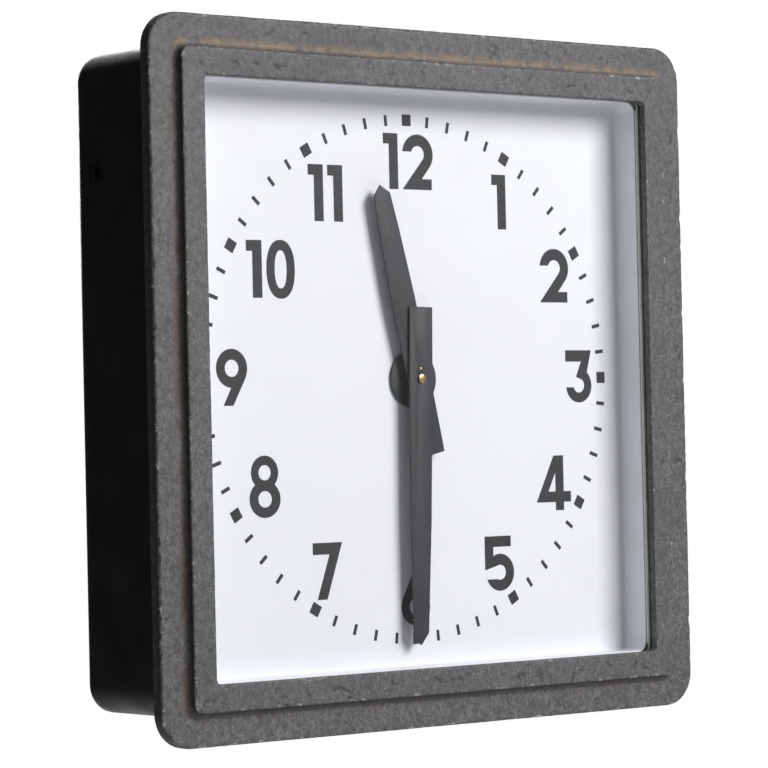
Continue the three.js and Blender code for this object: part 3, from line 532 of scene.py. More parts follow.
castFrame = {
    "raisedBorder": 18.5 * mm,
    "flangeBorder": 22.5 * mm,
    "frameCorner": 24 * mm,
    "flangeRounding": 2 * mm,
    "flangeThickness": 9.5 * mm,
    "raisedHeight": 6 * mm,
    "raisedCorner": 7 * mm,
    "raisedEdge": 1.4 * mm,
    "cove": 4.5 * mm,
    "openingCorner": 4 * mm,
    "lipDepth": 4.8 * mm,
    "lipEdge": 1 * mm,
    "rebateWidth": 5 * mm,
    "rebateCorner": 5.5 * mm,
    "skirtOuter": 217.5 * mm,
    "skirtThickness": 4 * mm,
    "skirtDepth": 5 * mm,
    "skirtCorner": 14.5 * mm,
    "grid": 1.25 * mm,
    "sideSteps": 250,
    "cornerSteps": 14,
    "wave": 0.16 * mm,
    "waveSize": 26 * mm,
    "grain": 0.10 * mm,
    "grainSize": 3.1 * mm,
    "nick": 1.6 * mm,
    "nickSize": 5.5 * mm,
    "pits": 300,
    "pitRadius": (0.9 * mm, 1.9 * mm),
    "pitDepth": (0.15 * mm, 0.40 * mm),
    "pitScatter": 4 * mm,
    "freshStart": 0.45,
    "sideShare": {"top": 9, "right": 2, "bottom": 5, "left": 2},
    "scars": 44,
    "scarStep": (1.3 * mm, 0.9 * mm),
    "seed": 41,
}

frameLow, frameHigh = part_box("front_frame")
frameHalf = frameHigh.x
frameFront = frameLow.y
raisedHalf = frameHalf - castFrame["flangeBorder"]
openingHalf = raisedHalf - castFrame["raisedBorder"]
flangeFront = frameFront + castFrame["raisedHeight"]
flangeBack = flangeFront + castFrame["flangeThickness"]
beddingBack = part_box("glass_bedding")[1].y


# The section of the casting, from the rebate round its front to the skirt behind.
# Each station is (half width, corner radius, level, edge, groove, wall, rough).
# The wall mark sets how much painted shade a station gets.
def castSection():
    size = castFrame
    stations = []

    def corner(half, fromHalf, radius):
        return max(radius + half - fromHalf, 0.3 * mm)

    def flat(start, end, level, fromHalf, radius, groove=None):
        count = max(1, round(abs(end - start) / size["grid"]))
        for step in range(1, count):
            half = start + (end - start) * step / count
            deep = groove(half) if groove else 0.0
            stations.append((half, corner(half, fromHalf, radius), level, 0.0, deep, 0.0, 1.0))

    def bend(centre, radius, angles, steps, fromHalf, cornerRadius, edge, groove, wall):
        for step in range(steps + 1):
            share = step / steps
            angle = math.radians(angles[0] + (angles[1] - angles[0]) * share)
            half = centre[0] + radius * math.cos(angle)
            level = centre[1] + radius * math.sin(angle)
            marks = [value(share) if callable(value) else value for value in (edge, groove, wall)]
            stations.append((half, corner(half, fromHalf, cornerRadius), level, *marks, 1.0))

    lipBack = frameFront + size["lipDepth"]
    rebate = openingHalf + size["rebateWidth"]
    plain = (0.0, 0.0, 0.0, 0.0)
    stations.append((rebate, size["rebateCorner"], lipBack, *plain))
    stations.append((openingHalf, size["openingCorner"], lipBack, *plain))
    lip = size["lipEdge"]
    stations.append((openingHalf, size["openingCorner"], (lipBack + frameFront) / 2, 0.1, 0.0, 0.35, 0.3))
    bend((openingHalf + lip, frameFront + lip), lip, (180, 270), 4, openingHalf, size["openingCorner"],
         lambda share: 0.2 + 0.4 * share, 0.0, 0.0)
    flat(openingHalf + lip, raisedHalf - size["raisedEdge"], frameFront, raisedHalf, size["raisedCorner"])
    edge = size["raisedEdge"]
    bend((raisedHalf - edge, frameFront + edge), edge, (270, 360), 5, raisedHalf, size["raisedCorner"],
         lambda share: math.sin(math.pi * min(1.0, share + 0.25)), 0.0, lambda share: 0.8 * share ** 2)
    cove = size["cove"]
    bend((raisedHalf + cove, flangeFront - cove), cove, (180, 90), 7, raisedHalf, size["raisedCorner"],
         0.0, lambda share: share, lambda share: 1 - share)

    def dusting(half):
        return max(0.0, 1 - (half - raisedHalf - cove) / (3.5 * mm)) ** 0.8

    rounding = size["flangeRounding"]
    flat(raisedHalf + cove, frameHalf - rounding, flangeFront, raisedHalf, size["raisedCorner"], dusting)
    bend((frameHalf - rounding, flangeFront + rounding), rounding, (270, 360), 8, frameHalf,
         size["frameCorner"], lambda share: abs(math.sin(math.pi * share)) ** 0.5, 0.0, 0.0)
    sharp = 0.7 * mm
    stations.append((frameHalf, size["frameCorner"], flangeBack - sharp, 0.25, 0.0, 0.0, 0.6))
    stations.append((frameHalf - sharp, size["frameCorner"] - sharp, flangeBack, 0.2, 0.0, 0.0, 0.3))
    outer = size["skirtOuter"]
    inner = outer - size["skirtThickness"]
    innerCorner = size["skirtCorner"] - size["skirtThickness"]
    for half, radius, level in (
        (outer, size["skirtCorner"], flangeBack),
        (outer, size["skirtCorner"], flangeBack + size["skirtDepth"]),
        (inner, innerCorner, flangeBack + size["skirtDepth"]),
        (inner, innerCorner, beddingBack),
        (rebate, size["rebateCorner"], beddingBack),
    ):
        stations.append((half, radius, level, *plain))
    return stations


# Blends the corner radius so that rings between the raised step and the flange edge never cross.
def fairCorners(stations):
    size = castFrame
    fair = []
    for half, radius, *rest in stations:
        if half > raisedHalf + size["cove"]:
            reach = (half - raisedHalf - size["cove"]) / (frameHalf - raisedHalf - size["cove"])
            inner = size["raisedCorner"] + size["cove"]
            radius = min(inner + (size["frameCorner"] - inner) * min(1.0, reach), max(radius, inner))
        fair.append((half, radius, *rest))
    return fair


def writeAttribute(mesh, name, values):
    attribute = mesh.attributes.new(name, "FLOAT", "POINT")
    attribute.data.foreach_set("value", np.asarray(values, np.float32))


def noiseField(points, size, offset):
    shift = Vector((offset, 2 * offset, 3 * offset))
    return np.array([noise.noise(Vector(point) / size + shift) for point in points])


# Small shrinkage and rust pits over the faces, most of them in loose clusters.
def castPits(points, rough):
    size = castFrame
    draw = random.Random(size["seed"])
    depth = np.zeros(len(points))
    front = np.where(rough > 0.9)[0]
    flat = points[front][:, [0, 2]]

    def sink(middle, radius, deep, squash):
        near = np.abs(flat - np.array(middle)).sum(axis=1) < 3 * radius
        apart = flat[near] - np.array(middle)
        share = np.clip(1 - np.hypot(apart[:, 0] * squash, apart[:, 1]) / radius, 0, 1)
        depth[front[near]] = np.maximum(depth[front[near]], deep * share * (2 - share))

    here = None
    for index in range(size["pits"]):
        if here is None or draw.random() < size["freshStart"]:
            along = draw.uniform(-frameHalf, frameHalf)
            out = draw.uniform(openingHalf + 2 * mm, frameHalf - 2 * mm)
            spots = ((along, out), (out, along), (along, -out), (-out, along))
            here = draw.choices(spots, weights=tuple(size["sideShare"].values()))[0]
        else:
            here = tuple(value + draw.gauss(0, size["pitScatter"]) for value in here)
        radius = draw.uniform(*size["pitRadius"]) * draw.uniform(0.5, 1.0)
        deep = draw.uniform(*size["pitDepth"])
        sink(here, radius, deep, draw.uniform(0.6, 1.2))
    for scar in range(size["scars"]):
        along = draw.uniform(-raisedHalf, raisedHalf)
        border = draw.choice((raisedHalf + 12 * mm, raisedHalf - 9 * mm))
        spots = ((along, border), (along, -raisedHalf + 9 * mm), (border, along))
        here = draw.choices(spots, (5, 4, 1))[0]
        heading = draw.uniform(0, 2 * math.pi)
        for step in range(draw.randint(4, 9)):
            heading += draw.gauss(0, 0.9)
            across, up = size["scarStep"]
            here = (here[0] + across * math.cos(heading), here[1] + up * math.sin(heading))
            sink(here, draw.uniform(0.8, 1.3) * mm, size["pitDepth"][1], 1.0)
    return depth


def castFrontFrame():
    size = castFrame
    stations = fairCorners(castSection())
    rings = [squareRing(half, radius, level, size) for half, radius, level, *_ in stations]
    piece = skinPiece("front_frame_casting", rings, materials["castPaint"], True, 40)
    mesh = piece.data
    count = len(rings[0])
    marks = np.array([station[3:] for station in stations])
    edge, groove, wall, rough = np.repeat(marks, count, axis=0).T
    points = meshPoints(mesh)
    pits = castPits(points, rough)
    shift = size["wave"] * noiseField(points, size["waveSize"], 3.1)
    shift += size["grain"] * noiseField(points, size["grainSize"], 7.7)
    nicks = np.clip(noiseField(points, size["nickSize"], 12.4) - 0.18, 0, 1) * size["nick"] * edge
    shift = rough * shift - 0.02 * mm - pits - nicks
    pushOut(mesh, shift * (rough > 0))

    x, level, z = points.T
    onTop, onLeft, onBottom = (np.clip(share / (8 * mm) + 0.5, 0, 1)
                               for share in (z - np.abs(x), -x - np.abs(z), -z - np.abs(x)))
    onRight = np.clip(1 - onTop - onLeft - onBottom, 0, 1)
    writeAttribute(mesh, "edge", edge)
    writeAttribute(mesh, "groove", groove)
    writeAttribute(mesh, "dusty", onTop * 0.95 + onRight * 0.15 + onLeft * 0.10)
    writeAttribute(mesh, "rusty", onLeft * 0.75 + onTop * 0.25 + onBottom * 0.25)
    # Painted shade on the step walls and the lip: most on the left and bottom walls, less on the top and
    # right.
    paintedShade = wall ** 3 * (0.95 * onLeft + 0.35 * onTop + 0.25 * onRight) + np.sqrt(wall) * 0.98 * onBottom
    # Painted shade on the flange's outer side, all round.
    outerSide = np.clip((level - flangeFront - 1.2 * mm) / (0.6 * mm), 0, 1) * rough
    writeAttribute(mesh, "paintedShade", np.maximum(paintedShade, 0.78 * outerSide))
    writeAttribute(mesh, "pit", np.clip(pits / (0.34 * mm), 0, 1) + np.clip(nicks / (0.5 * mm), 0, 0.4))
    return settle(piece, "front_door", "cast_grey", "front_frame")


castFrontFrame()
print("front frame cast")


# ---- case shell ----

caseShell = {
    "wall": 2.5 * mm,
    "corner": 20 * mm,
    "backRounding": 9 * mm,
    "rimFlare": 3 * mm,
    "dent": 0.35 * mm,
    "cornerSteps": 14,
    "sideSteps": 60,
    "deepSteps": 16,
    "keyhole": 120 * mm,
    "wallScrewHole": 14 * mm,
    "glandHole": 9.3 * mm,
}

caseLow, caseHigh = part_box("case_body")
caseHalf = caseHigh.x - caseShell["rimFlare"]
caseFront = caseLow.y


def makeCase():
    size = caseShell
    rounding = size["backRounding"]
    middle = caseHalf - rounding
    inner = caseHalf - size["wall"]
    flare = size["rimFlare"]
    steps = 8

    def ring(half, level):
        return squareRing(half, size["corner"] + half - caseHalf, level, size)

    def bent(radius, angles):
        return [ring(middle + radius * math.cos(a), -rounding + radius * math.sin(a))
                for a in (math.radians(angle) for angle in angles)]

    down = [90 - 90 * step / steps for step in range(steps + 1)]
    rings = bent(rounding - size["wall"], down)
    rim = caseHalf + flare
    rings += [ring(inner, caseFront), ring(rim, caseFront), ring(rim, caseFront + 0.5 * flare)]
    for step in range(5):
        share = step / 4
        rings.append(ring(caseHalf + flare * (1 - share) ** 2, caseFront + flare * (1 + 1.5 * share)))
    start = caseFront + 2.5 * flare
    for step in range(1, size["deepSteps"]):
        rings.append(ring(caseHalf, start + (-rounding - start) * step / size["deepSteps"]))
    rings += bent(rounding, down[::-1])
    shell = skinPiece("case_shell", rings, materials["casePaint"], False, 40)

    points = meshPoints(shell.data)
    outside = np.abs(points[:, [0, 2]]).max(axis=1) > inner + 1 * mm
    pushOut(shell.data, outside * (size["dent"] * noiseField(points, 70 * mm, 5.3) - 0.1 * mm))

    def hole(radius, reach, centre, axis, sides):
        profile = [(radius, -reach), (radius, reach)]
        return turnedPiece("hole", profile, centre, axis, materials["casePaint"], sides)

    low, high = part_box("side_screw_left")
    height = (low.z + high.z) / 2
    holes = [hole(size["wallScrewHole"], 5 * mm, (side * size["keyhole"], 0, height), (0, 1, 0), 48)
             for side in (-1, 1)]
    low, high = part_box("gland_body")
    centre = (low + high) / 2
    holes.append(hole(size["glandHole"], 6 * mm, (centre.x, centre.y, -caseHalf), (0, 0, 1), 32))
    cutAway(shell, holes, 40)

    points = meshPoints(shell.data)
    fromFront = points[:, 1] - caseFront
    nearFront = np.clip(1 - fromFront / (28 * mm), 0, 1)
    below = np.clip((-points[:, 2] - 120 * mm) / (90 * mm), 0, 1)
    top = np.clip((points[:, 2] - caseHalf + 2 * mm) / (2 * mm), 0, 1)
    rusty = nearFront * (0.35 + 0.65 * below) + 0.25 * below + 0.3 * top
    writeAttribute(shell.data, "rusty", np.clip(rusty, 0, 1))
    writeAttribute(shell.data, "dusty", top * (0.35 + 0.65 * nearFront))
    return settle(shell, "case", "case_paint", "case_body")


makeCase()
print("case pressed")


# ---- dial tray ----

trayPress = {
    "fold": 2.6 * mm,
    "corner": 8 * mm,
    "sheet": 1.2 * mm,
    "rimSetback": 2.7 * mm,
    "cornerSteps": 12,
    "sideSteps": 24,
}

trayLow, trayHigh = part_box("dial_tray")
dialFace = trayHigh.y - trayPress["sheet"]
trayRim = trayHigh.x
pipeHole = 4.8 * mm


def makeTray():
    size = trayPress
    sheet = size["sheet"]
    fold = size["fold"]
    front = trayLow.y
    steps = 6
    outer = openingHalf + sheet
    count = 4 * (size["cornerSteps"] + size["sideSteps"])
    flat = openingHalf - fold
    face = squareRing(flat, size["corner"] - fold, dialFace, size)

    # Rings between the round centre hole and the square edge of the flat face.
    def facing(level, edgeRing, share):
        angles = np.arctan2(edgeRing[:, 2], edgeRing[:, 0])
        circle = np.stack([pipeHole * np.cos(angles), np.full(count, level), pipeHole * np.sin(angles)], 1)
        return circle + (edgeRing * [1, 0, 1] + [0, level, 0] - circle) * share

    def ring(half, level):
        radius = max(size["corner"] + half - openingHalf, 2 * mm)
        return squareRing(half, radius, level, size)

    rings = [facing(dialFace, face, share) for share in (0.0, 0.5)]
    for step in range(steps + 1):
        angle = math.radians(90 * step / steps)
        rings.append(ring(flat + fold * math.sin(angle), dialFace - fold + fold * math.cos(angle)))
    rim = front + size["rimSetback"]
    soft = 0.3 * mm
    rings += [ring(openingHalf, front + soft), ring(openingHalf + soft, front), ring(outer - soft, front)]
    rings += [ring(outer, front + soft), ring(outer, rim), ring(trayRim, rim), ring(trayRim, rim + sheet)]
    rings.append(ring(outer, rim + sheet))
    for step in range(steps + 1):
        angle = math.radians(90 * (1 - step / steps))
        reach = fold + sheet
        rings.append(ring(flat + reach * math.sin(angle), dialFace - fold + reach * math.cos(angle)))
    back = rings[-1]
    rings += [facing(dialFace + sheet, back, share) for share in (0.5, 0.0)]
    piece = skinPiece("dial_tray_pressing", rings, materials["dialEnamel"], True, 30)
    return settle(piece, "case", "dial_enamel", "dial_tray")


makeTray()
print("dial tray pressed")


# ---- dial numerals: flat shapes joined by triangulation, then given the thickness of printed enamel ----

printing = {
    "height": 0.14 * mm,
    "bed": 0.3 * mm,
    "arcSteps": 40,
    "digitGap": 3.9 * mm,
    # Middle of each numeral, across and up from the dial's centre.
    "places": {
        1: (85, 126), 2: (137, 74), 3: (159, 1), 4: (132, -76), 5: (78, -132), 6: (-1, -153),
        7: (-79, -131), 8: (-132, -72), 9: (-158, 2), 10: (-123, 75), 11: (-74, 128), 12: (1, 152),
    },
}


# A band between two arcs about one centre, as a row of four-sided pieces. Angles in degrees.
def arcBand(centre, outer, inner, outerFrom=0, outerTo=360, innerFrom=None, innerTo=None, power=2.0):
    steps = printing["arcSteps"]
    outer = outer if isinstance(outer, tuple) else (outer, outer)
    inner = inner if isinstance(inner, tuple) else (inner, inner)
    innerFrom = outerFrom if innerFrom is None else innerFrom
    innerTo = outerTo if innerTo is None else innerTo

    def point(radii, angle):
        c, s = math.cos(math.radians(angle)), math.sin(math.radians(angle))
        rounding = 2 / power
        return (centre[0] + radii[0] * math.copysign(abs(c) ** rounding, c),
                centre[1] + radii[1] * math.copysign(abs(s) ** rounding, s))

    pieces = []
    for step in range(steps):
        shares = (step / steps, (step + 1) / steps)
        outside = [point(outer, outerFrom + (outerTo - outerFrom) * share) for share in shares]
        inside = [point(inner, innerFrom + (innerTo - innerFrom) * share) for share in shares]
        pieces.append([outside[0], outside[1], inside[1], inside[0]])
    return pieces


# Each digit: its width, its height and the flat pieces it is drawn with, from its lower left corner.
def digitShape(digit):
    if digit == "0":
        return 24.4, 40, arcBand((12.2, 20), (12.2, 20), (5.2, 13), power=2.25)
    if digit == "1":
        stem = [(5.2, 0), (13.2, 0), (13.2, 39), (5.2, 39)]
        return 13.2, 39, [stem, [(0, 31.6), (5.2, 31.6), (5.2, 39), (0, 39)]]
    if digit == "2":
        bowl = arcBand((14.2, 24.8), 14, 5.9, 172.6, -38, 162.2, -38)
        foot = [(0, 0), (26.8, 0), (26.8, 7.6), (17.8, 7.6), (25.2, 16.2), (18.85, 21.2)]
        return 28.2, 38.8, bowl + [foot]
    if digit == "3":
        bowl = arcBand((12.8, 12.3), 12.5, 5.3, 186.5, 409, 195.3, 409)
        bar = [(10.2, 18.4), (12.8, 17.6), (16.3, 16.3), (21.0, 21.7), (25.4, 37.8), (0, 37.8), (0, 29.6),
               (15.4, 29.6)]
        return 25.4, 37.8, bowl + [bar]
    if digit == "4":
        stem = [(18.6, 0), (26.6, 0), (26.6, 39.6), (18.6, 39.6)]
        bar = [(0, 6), (33.6, 6), (33.6, 13.6), (3.9, 13.6)]
        slope = [(0, 6), (7.75, 6), (18.6, 27.4), (18.6, 39.6), (17.2, 39.6)]
        return 33.6, 39.6, [stem, bar, slope]
    if digit == "5":
        bowl = arcBand((14.2, 13.2), 13.2, 5.4, 201.3, 478, 242.7, 478)
        bar = [(0, 15), (11.67, 17.97), (8.0, 24.86), (8, 31.4), (24.8, 31.4), (24.8, 39), (0, 39)]
        return 27.4, 39, bowl + [bar]
    if digit == "7":
        return 25.8, 38.8, [[(0, 38.8), (0, 30.8), (14.6, 30.8), (3.4, 0), (12, 0), (25.8, 38.8)]]
    if digit == "8":
        lower = arcBand((13.2, 12.6), (13.2, 12.6), (5.8, 5.6))
        return 26.4, 42.1, lower + arcBand((13.2, 30.5), 11.6, 5.2)
    width, height = 26.2, 38.2
    nine = arcBand((13.1, 25.1), 13.1, 5.8) + [[(5.8, 0), (14, 0), (25, 19.2), (12.4, 12)]]
    if digit == "9":
        return width, height, nine
    return width, height, [[(width - x, height - z) for x, z in piece] for piece in nine]


# Joins overlapping flat pieces into one sheet and gives it thickness towards the glass.
def printedSolid(name, pieces, material):
    flatPoints, loops = [], []
    for piece in pieces:
        area = sum(a[0] * b[1] - b[0] * a[1] for a, b in zip(piece, piece[1:] + piece[:1]))
        ordered = piece if area > 0 else piece[::-1]
        loops.append(list(range(len(flatPoints), len(flatPoints) + len(ordered))))
        flatPoints += [Vector(point) for point in ordered]
    points, _, triangles, _, _, owners = delaunay_2d_cdt(flatPoints, [], loops, 1, 1e-4)
    faces = [triangle for triangle, owner in zip(triangles, owners) if owner]
    work = bmesh.new()
    front = dialFace - printing["height"]
    back = dialFace + printing["bed"]
    vertices = [work.verts.new((point.x * mm, front, point.y * mm)) for point in points]
    for face in faces:
        work.faces.new([vertices[index] for index in face])
    bmesh.ops.dissolve_limit(work, angle_limit=math.radians(0.5), verts=work.verts, edges=work.edges)
    work.normal_update()
    for face in work.faces:
        if face.normal.y > 0:
            face.normal_flip()
    grown = bmesh.ops.extrude_face_region(work, geom=list(work.faces))
    for item in grown["geom"]:
        if isinstance(item, bmesh.types.BMVert):
            item.co.y = back
    bmesh.ops.recalc_face_normals(work, faces=work.faces)
    loose = [vertex for vertex in work.verts if not vertex.link_faces]
    bmesh.ops.delete(work, geom=loose, context="VERTS")
    return meshFrom(name, work, material)


def printNumerals():
    gap = printing["digitGap"] / mm
    for hour, (across, up) in printing["places"].items():
        digits = [digitShape(digit) for digit in str(hour)]
        width = sum(shape[0] for shape in digits) + gap * (len(digits) - 1)
        left = across - width / 2
        pieces = []
        for digitWidth, height, flats in digits:
            low = up - height / 2
            pieces += [[(left + x, low + z) for x, z in flat] for flat in flats]
            left += digitWidth + gap
        settle(printedSolid(f"numeral_{hour}", pieces, materials["dialInk"]), "case", "hand_paint")


printNumerals()
print("numerals printed")


# ---- geometry nodes: what repeats ----

def newTree(name, inputs):
    group = bpy.data.node_groups.new(name, "GeometryNodeTree")
    group.interface.new_socket("Geometry", in_out="OUTPUT", socket_type="NodeSocketGeometry")
    for label, kind in inputs.items():
        group.interface.new_socket(label, in_out="INPUT", socket_type="NodeSocket" + kind)
    return NodeTree(group)


# Makes the instances real, gives them their material and ends the tree.
def finishTree(tree, geometry, material):
    real = tree.run("GeometryNodeRealizeInstances", {"Geometry": geometry})
    painted = tree.run("GeometryNodeSetMaterial", {"Geometry": real, "Material": material})
    tree.put(painted, tree.add("NodeGroupOutput").inputs[0])
    return tree


# Runs a tree that makes geometry of its own, and keeps the result as one plain mesh.
def bakeTree(name, tree, values):
    piece = linkedObject(name, bpy.data.meshes.new(name))
    modifier = piece.modifiers.new("make", "NODES")
    modifier.node_group = tree.tree
    for item in tree.tree.interface.items_tree:
        if item.item_type == "SOCKET" and item.in_out == "INPUT":
            modifier[item.identifier] = values[item.name]
    return bake(piece, name)


dialMarks = {
    "Radius": 181 * mm,
    "Bar Width": 2.6 * mm,
    "Bar Length": 7.6 * mm,
    "Hour Side": 8.0 * mm,
    "Thickness": printing["height"] + printing["bed"],
    "Level": dialFace + (printing["bed"] - printing["height"]) / 2,
}


# Sixty marks round the dial: every fifth one square, the others short bars.
def marksTree():
    tree = newTree("dialMarks", {**dict.fromkeys(dialMarks, "Float"), "Ink": "Material"})
    given = tree.add("NodeGroupInput").outputs
    circle = tree.run("GeometryNodeMeshCircle", {"Vertices": 60, "Radius": given["Radius"]})
    index = tree.run("GeometryNodeInputIndex", {})
    isHour = tree.maths("COMPARE", tree.maths("MODULO", index, 5.0), 0.0, 0.1)
    isBar = tree.maths("SUBTRACT", 1.0, isHour)
    turn = tree.run("ShaderNodeCombineXYZ", {"Z": tree.times(index, 2 * math.pi / 60)})
    joined = tree.add("GeometryNodeJoinGeometry")
    for long, wide, isChosen in (("Bar Length", "Bar Width", isBar), ("Hour Side", "Hour Side", isHour)):
        size = {"X": given[long], "Y": given[wide], "Z": given["Thickness"]}
        block = tree.run("GeometryNodeMeshCube", {"Size": tree.run("ShaderNodeCombineXYZ", size)})
        spread = {"Points": circle, "Selection": isChosen, "Instance": block, "Rotation": turn}
        tree.put(tree.run("GeometryNodeInstanceOnPoints", spread), joined.inputs["Geometry"])
    place = tree.run("ShaderNodeCombineXYZ", {"Y": given["Level"]})
    upright = {"Geometry": joined.outputs["Geometry"], "Rotation": (math.pi / 2, 0, 0), "Translation": place}
    return finishTree(tree, tree.run("GeometryNodeTransform", upright), given["Ink"])


marks = bakeTree("dial_minute_marks", marksTree(), {**dialMarks, "Ink": materials["dialInk"]})
settle(marks, "case", "hand_paint")
print("dial marks printed")


# ---- small screws ----

screwHead = {
    "Head Radius": 3.2 * mm,
    "Head Height": 1.5 * mm,
    "Slot Width": 0.9 * mm,
    "Slot Depth": 0.8 * mm,
    "sink": 0.15 * mm,
    "sides": 28,
    "seed": 7,
}


# One slotted, rounded head standing on the plane z = 0.
def screwShape(material):
    size = screwHead
    radius, height, deep = size["Head Radius"], size["Head Height"], size["Slot Depth"]
    profile = [(radius * 0.97, -size["sink"]), (radius, 0.3 * height), (radius * 0.96, 0.55 * height),
               (radius * 0.80, 0.82 * height), (radius * 0.5, 0.96 * height), (radius * 0.12, height)]
    head = turnedPiece("screwHead", profile, (0, 0, 0), (0, 0, 1), material, size["sides"])
    work = bmesh.new()
    scale = Matrix.Diagonal((3 * radius, size["Slot Width"], 2 * deep, 1))
    bmesh.ops.create_cube(work, size=1, matrix=Matrix.Translation((0, 0, height)) @ scale)
    cutAway(head, [meshFrom("slot", work, material)])
    return head


# Stands a screw on every point of the carried mesh, turned to its normal and then by chance about it.
def screwsTree():
    tree = newTree("screws", {"Points": "Object", "Screw": "Object", "Seed": "Int", "Metal": "Material"})
    given = tree.add("NodeGroupInput").outputs
    points, screw = (tree.run("GeometryNodeObjectInfo", {"Object": given[name]}, "Geometry")
                     for name in ("Points", "Screw"))
    facing = tree.run("GeometryNodeInputNamedAttribute", {"Name": "facing"}, data_type="FLOAT_VECTOR")
    align = tree.run("FunctionNodeAlignRotationToVector", {"Vector": facing}, axis="Z")
    chance = tree.run("FunctionNodeRandomValue", {3: math.pi, "Seed": given["Seed"]}, 1, data_type="FLOAT")
    spin = tree.run("ShaderNodeCombineXYZ", {"Z": chance})
    turn = tree.run("FunctionNodeRotateRotation", {"Rotation": align, "Rotate By": spin},
                    rotation_space="LOCAL")
    spread = {"Points": points, "Instance": screw, "Rotation": turn}
    return finishTree(tree, tree.run("GeometryNodeInstanceOnPoints", spread), given["Metal"])


def standScrews(name, spots, facing, material, body, slot, tree, head):
    mesh = bpy.data.meshes.new(name + "Spots")
    mesh.from_pydata([tuple(spot) for spot in spots], [], [])
    attribute = mesh.attributes.new("facing", "FLOAT_VECTOR", "POINT")
    attribute.data.foreach_set("vector", np.tile(np.array(facing, np.float32), len(spots)))
    points = linkedObject(name + "Spots", mesh)
    values = {"Points": points, "Screw": head, "Seed": screwHead["seed"], "Metal": material}
    made = bakeTree(name, tree, values)
    bpy.data.objects.remove(points)
    return settle(made, body, slot)


def makeScrews():
    head = screwShape(materials["zincSteel"])
    tree = screwsTree()
    stripSpots = []
    for name in ("top", "right", "bottom", "left"):
        low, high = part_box(f"glass_strip_{name}")
        middle = (low + high) / 2
        long = 0 if high.x - low.x > high.z - low.z else 2
        for share in (-0.88, 0.0, 0.88):
            spot = Vector((middle.x, high.y, middle.z))
            spot[long] += share * (high[long] - low[long]) / 2
            stripSpots.append(spot)
    zinc, steel = materials["zincSteel"], materials["brightSteel"]
    standScrews("glass_strip_screws", stripSpots, (0, 1, 0), zinc, "front_door", "zinc_steel", tree, head)

    leafSpots, hingeSpots = [], []
    for side in ("left", "right"):
        low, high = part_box(f"case_hinge_{side}")
        for share in (0.30, 0.74):
            leafSpots.append(((low.x + high.x) / 2, high.y - (high.y - low.y) * (1 - share) * 0.62,
                              caseHalf + 2.3 * mm))
        low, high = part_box(f"frame_hinge_{side}")
        hingeSpots.append((high.x - 6 * mm, flangeBack + 2.3 * mm, (low.z + high.z) / 2 + 1.5 * mm))
    standScrews("case_hinge_screws", leafSpots, (0, 0, 1), steel, "case", "bright_steel", tree, head)
    standScrews("frame_hinge_screws", hingeSpots, (0, 1, 0), steel, "front_door", "bright_steel", tree, head)
    bpy.data.objects.remove(head)


makeScrews()
print("screws set")


# ---- hands and centre ----

handShapes = {
    "edge": 0.28 * mm,
    "discEdge": 0.5 * mm,
    "discSides": 96,
    "nutHole": 1.6 * mm,
    "nutRadius": 3.0 * mm,
    "nutStraight": 0.45,
    "pinHeight": 7 * mm,
}


def makeHands():
    shape = handShapes
    for node, body in (("hour_hand", "hour_train"), ("minute_hand", "minute_train")):
        copy = softenedCopy(node, node + "_blade", shape["edge"], materials["handPaint"])
        settle(copy, body, "hand_paint", node)

    low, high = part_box("centre_cover_disc")
    radius, thick = high.x, high.y - low.y
    edge = shape["discEdge"]
    rim = [(pipeHole, 0), (radius - 0.2 * mm, 0), (radius, 0.2 * mm)]
    for step in range(5):
        angle = math.radians(90 * step / 4)
        rim.append((radius - edge + edge * math.cos(angle), thick - edge + edge * math.sin(angle)))
    rim += [(pipeHole + 0.3 * mm, thick), (pipeHole, thick - 0.3 * mm)]
    sides = shape["discSides"]
    rings = []
    for size, level in rim:
        rings.append(np.array([(size * math.cos(2 * math.pi * k / sides), high.y - level,
                                size * math.sin(2 * math.pi * k / sides)) for k in range(sides)]))
    disc = skinPiece("centre_disc", rings, materials["discPaint"], True, 35)
    settle(disc, "case", "hand_paint", "centre_cover_disc")

    low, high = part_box("hand_nut")
    tall = high.y - low.y
    radius, straight = shape["nutRadius"], shape["nutStraight"]
    dome = [(shape["nutHole"], 0), (radius, 0), (radius, straight * tall)]
    for step in range(1, 7):
        angle = math.radians(90 * step / 6)
        height = (straight + (1 - straight) * math.sin(angle)) * tall
        dome.append((radius * math.cos(angle) + 0.15 * mm, height))
    nut = turnedPiece("hand_nut_dome", dome, (0, high.y, 0), (0, -1, 0), materials["brass"], 40)
    settle(nut, "minute_train", "brass", "hand_nut")

    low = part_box("minute_hand")[0]
    tip = [(0.9 * mm, -0.4 * mm), (0.9 * mm, 0.15 * mm), (0.6 * mm, 0.4 * mm), (0.15 * mm, 0.5 * mm)]
    spot = (-0.1 * mm, low.y, shape["pinHeight"])
    pin = turnedPiece("minute_hand_pin", tip, spot, (0, -1, 0), materials["brass"], 20)
    settle(pin, "minute_train", "brass")


makeHands()
print("hands set")


# ---- CAD nodes that keep their own shape ----

def sided(*names):
    return [f"{name}_{side}" for name in names for side in ("left", "right")]


